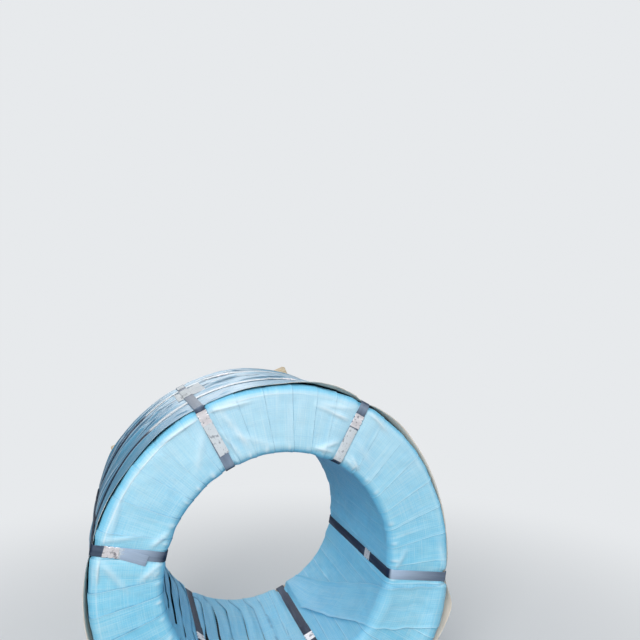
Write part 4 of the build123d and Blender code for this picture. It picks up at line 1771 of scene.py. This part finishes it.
# How far the paper lies off the cover, and where it crosses a strap
PAPER_GAP = 0.0014
STRAP_TOP = 0.0042


def paper_finish(name, colour, printed):
    """Matt paper with soft creases, and on a printed one faint rules and plain bars."""
    finish = Finish(name)
    _, along, across = finish.sheet()
    where = finish.place()
    patch = finish.noise(where, 24.0, 4.0)
    base = finish.mix(patch * 0.6, colour, (0.48, 0.51, 0.54))
    if printed:
        line = (along * (math.pi / RULE_PITCH)).sine().size()
        rules = finish.band(line, 0.16, 0.06) * finish.band(across, 0.008, 0.010)
        rules = rules * finish.band(across, 0.096, 0.094)
        base = finish.mix(rules * 0.5, base, (0.30, 0.33, 0.38))
        stripes = (along * 1900 + (along * 610).sine() * 2.2).sine()
        zone = finish.band(across, 0.060, 0.061) * finish.band(across, 0.090, 0.089)
        zone = zone * finish.band(along, 0.028, 0.029) * finish.band(along, 0.084, 0.083)
        bars = finish.band(stripes, 0.05, 0.25) * zone
        base = finish.mix(bars * 0.8, base, (0.10, 0.11, 0.13))
    normal = finish.relief((finish.noise(where, 55.0, 5.0, 0.7), 0.0012, 0.5))
    return finish.set(Base_Color=base, Roughness=0.62, Normal=normal)


def lay_paper(settings, cover, name, printed):
    """Piece of paper on the cover and over a strap, at the place of its CAD node."""
    spots = node_points(name)
    low, high = spots[:, 1].min(), spots[:, 1].max()
    angles = np.arctan2(spots[:, 2], spots[:, 0])
    start, end = angles.min(), angles.max()
    rows, columns = (60, 70) if printed else (24, 40)
    angle = np.linspace(start, end, rows)[:, None]
    angle, along = np.broadcast_arrays(angle, np.linspace(low, high, columns))
    radius = cover_surface(cover, angle, along)[0] + PAPER_GAP
    aside = COVER_RADIUS * np.abs(wrapped(angle - STRAP_ANGLES["cross_strap_3"]))
    over_strap = (COVER_RADIUS + STRAP_TOP) * (1 - smooth(aside, 0.017, 0.027))
    radius = np.maximum(radius, over_strap)
    radius = radius + 0.0005 * waves(turned(angle, radius, along), 0.02, 0.06, 71)
    uv = np.stack([along - low, (angle - start) * COVER_RADIUS], axis=-1)
    points = turned(angle, radius, along)
    made = grid_mesh(name.replace("label", "paper"), points, uv)
    finish = paper_finish(name.replace("_", " "), tuple(settings.colour), printed)
    made.data.materials.append(finish)
    made = thicken(made, settings.thickness)
    return made


class CoilPaperSettings(bpy.types.PropertyGroup):
    """Size and colour of the paper."""

    thickness: bpy.props.FloatProperty(
        name="Thickness", description="Thickness of the paper", default=0.0003, unit="LENGTH",
    )
    colour: bpy.props.FloatVectorProperty(
        name="Colour", description="Colour of the paper", size=3, subtype="COLOR",
        default=(0.57, 0.61, 0.64), min=0, max=1,
    )


class COIL_OT_paper(bpy.types.Operator):
    """Sticks the paper label and the small tag on the cover"""

    bl_idname = "coil.paper"
    bl_label = "Paper"

    def execute(self, context):
        settings, cover = context.scene.coil_paper, context.scene.coil_cover
        for name, printed in (("label_sheet", True), ("label_tag", False)):
            keep(lay_paper(settings, cover, name, printed), "paper", name)
        return {"FINISHED"}


# Stage

# Square lamps that look at the middle of the coil: name, place, size, power and colour
LAMPS = [
    ("key", (-2.0, -4.0, 2.4), 2.6, 178, (1.0, 0.99, 0.97)),
    ("fill", (3.2, -2.6, 0.9), 3.0, 30, (0.92, 0.96, 1.0)),
    ("overhead", (-0.4, 0.6, 4.0), 3.2, 30, (0.96, 0.98, 1.0)),
    ("window", (-0.6, 5.0, 3.2), 3.4, 62, (1.0, 0.99, 0.97)),
]


def floor_finish(pale, backdrop):
    """Floor that darkens under the coil, reflects little light and ends in the backdrop."""
    finish = Finish("floor")
    tone = finish.noise(finish.place(), 1.2, 4.0)
    seen = finish.get("LightPath", "Is Camera Ray")
    base = finish.mix(tone * 0.35, pale, shaded(pale, (0.93, 0.93, 0.93)))
    base = finish.mix(seen, shaded(pale, (0.42, 0.42, 0.42)), base)
    finish.set(Base_Color=base, Roughness=0.85)
    x, y, _ = finish.parts(finish.place())
    distance = (x * x + y * y) ** 0.5
    lit = Value(finish.tree, finish.shader.outputs[0])
    plain = finish.get("Emission", "Emission", None, {"Color": (*backdrop, 1), "Strength": 1.0})
    blend = finish.blend(seen * finish.band(distance, 0.7, 3.0), lit, plain)
    plug(finish.tree, finish.tree.nodes["Material Output"].inputs["Surface"], blend)
    return finish.material


def light_world(world, backdrop):
    """Soft light, the pale backdrop that the camera sees and a room for things to mirror."""
    world.use_nodes = True
    sky = Tree(world.node_tree)
    sky.tree.nodes.clear()
    aside, behind, high = sky.parts(sky.get("TexCoord", "Generated"))
    bright = sky.band(high + 0.45 * behind + 1.1 * aside, 0.05, 0.62)
    room = sky.mix(bright, (0.04, 0.07, 0.13), (0.98, 0.98, 0.97))
    soft, mirrored, plain = (
        sky.get("Background", "Background", None, {"Color": tint, "Strength": strength})
        for tint, strength in (((0.86, 0.93, 1.0, 1), 0.40), (room, 0.95), ((*backdrop, 1), 1.0))
    )
    light = sky.blend(sky.get("LightPath", "Is Glossy Ray"), soft, mirrored)
    whole = sky.blend(sky.get("LightPath", "Is Camera Ray"), light, plain)
    sky.node("OutputWorld", None, {"Surface": whole})


def add_lamp(name, place, size, power, colour):
    """Square lamp that looks at the middle of the coil."""
    data = bpy.data.lights.new(name, "AREA")
    data.size = size
    data.energy = power
    data.color = colour
    lamp = link(name, data)
    lamp.location = place
    lamp.rotation_euler = (-Vector(place)).to_track_quat("-Z", "Y").to_euler()


def add_camera(settings):
    """Level camera at its place, turned to its heading."""
    data = bpy.data.cameras.new("camera")
    data.lens = settings.lens
    data.sensor_width = 36
    camera = link("camera", data)
    camera.location = settings.eye
    camera.rotation_euler = (math.pi / 2, 0, -settings.heading)
    return camera


class CoilStageSettings(bpy.types.PropertyGroup):
    """Camera, floor and light."""

    eye: bpy.props.FloatVectorProperty(
        name="Eye", description="Place of the camera", size=3, subtype="TRANSLATION",
        default=(-0.509, -2.253, 0.809),
    )
    heading: bpy.props.FloatProperty(
        name="Heading", description="Turn of the camera to the right of +Y",
        default=math.radians(18.12), subtype="ANGLE",
    )
    lens: bpy.props.FloatProperty(
        name="Lens", description="Focal length in millimetres", default=34.65,
    )
    floor_colour: bpy.props.FloatVectorProperty(
        name="Floor", description="Colour of the floor", size=3, subtype="COLOR",
        default=(0.70, 0.71, 0.72), min=0, max=1,
    )
    backdrop_colour: bpy.props.FloatVectorProperty(
        name="Backdrop", description="Colour behind the floor", size=3, subtype="COLOR",
        default=(0.80, 0.82, 0.84), min=0, max=1,
    )


class COIL_OT_stage(bpy.types.Operator):
    """Sets up the floor, the light and the camera"""

    bl_idname = "coil.stage"
    bl_label = "Stage"

    def execute(self, context):
        settings = context.scene.coil_stage
        backdrop = tuple(settings.backdrop_colour)
        ends = np.array([-60.0, -8.0, 8.0, 60.0])
        x, y = np.meshgrid(ends, ends, indexing="ij")
        floor = grid_mesh("floor", np.stack([x, y, np.full_like(x, cad_low.z)], -1), flip=True)
        floor.data.materials.append(floor_finish(tuple(settings.floor_colour), backdrop))
        context.scene.world = context.scene.world or bpy.data.worlds.new("World")
        light_world(context.scene.world, backdrop)
        for lamp in LAMPS:
            add_lamp(*lamp)
        context.scene.camera = add_camera(settings)
        context.scene.view_settings.view_transform = "Standard"
        return {"FINISHED"}


class COIL_PT_panel(bpy.types.Panel):
    """Lists the pieces of the coil"""

    bl_idname = "COIL_PT_panel"
    bl_label = "Packed Strand Coil"
    bl_space_type = "VIEW_3D"
    bl_region_type = "UI"
    bl_category = "Coil"

    def draw(self, context):
        for operator in OPERATORS:
            self.layout.operator(operator.bl_idname)


SETTINGS = {
    "coil_strand": CoilStrandSettings,
    "coil_tape": CoilTapeSettings,
    "coil_cover": CoilCoverSettings,
    "coil_strapping": CoilStrappingSettings,
    "coil_timber": CoilTimberSettings,
    "coil_paper": CoilPaperSettings,
    "coil_stage": CoilStageSettings,
}
OPERATORS = [
    COIL_OT_stage, COIL_OT_strand, COIL_OT_tape, COIL_OT_cover, COIL_OT_strapping,
    COIL_OT_timber, COIL_OT_paper,
]


def register():
    """Adds the classes and the settings to Blender."""
    for kind in (*SETTINGS.values(), *OPERATORS, COIL_PT_panel):
        bpy.utils.register_class(kind)
    for name, kind in SETTINGS.items():
        setattr(bpy.types.Scene, name, bpy.props.PointerProperty(type=kind))


def unregister():
    """Takes the settings and the classes away again."""
    for name in SETTINGS:
        delattr(bpy.types.Scene, name)
    for kind in reversed((*SETTINGS.values(), *OPERATORS, COIL_PT_panel)):
        bpy.utils.unregister_class(kind)


def main():
    """Makes every piece."""
    register()
    for operator in OPERATORS:
        group, name = operator.bl_idname.split(".")
        getattr(getattr(bpy.ops, group), name)()


if __name__ == "__main__":
    main()
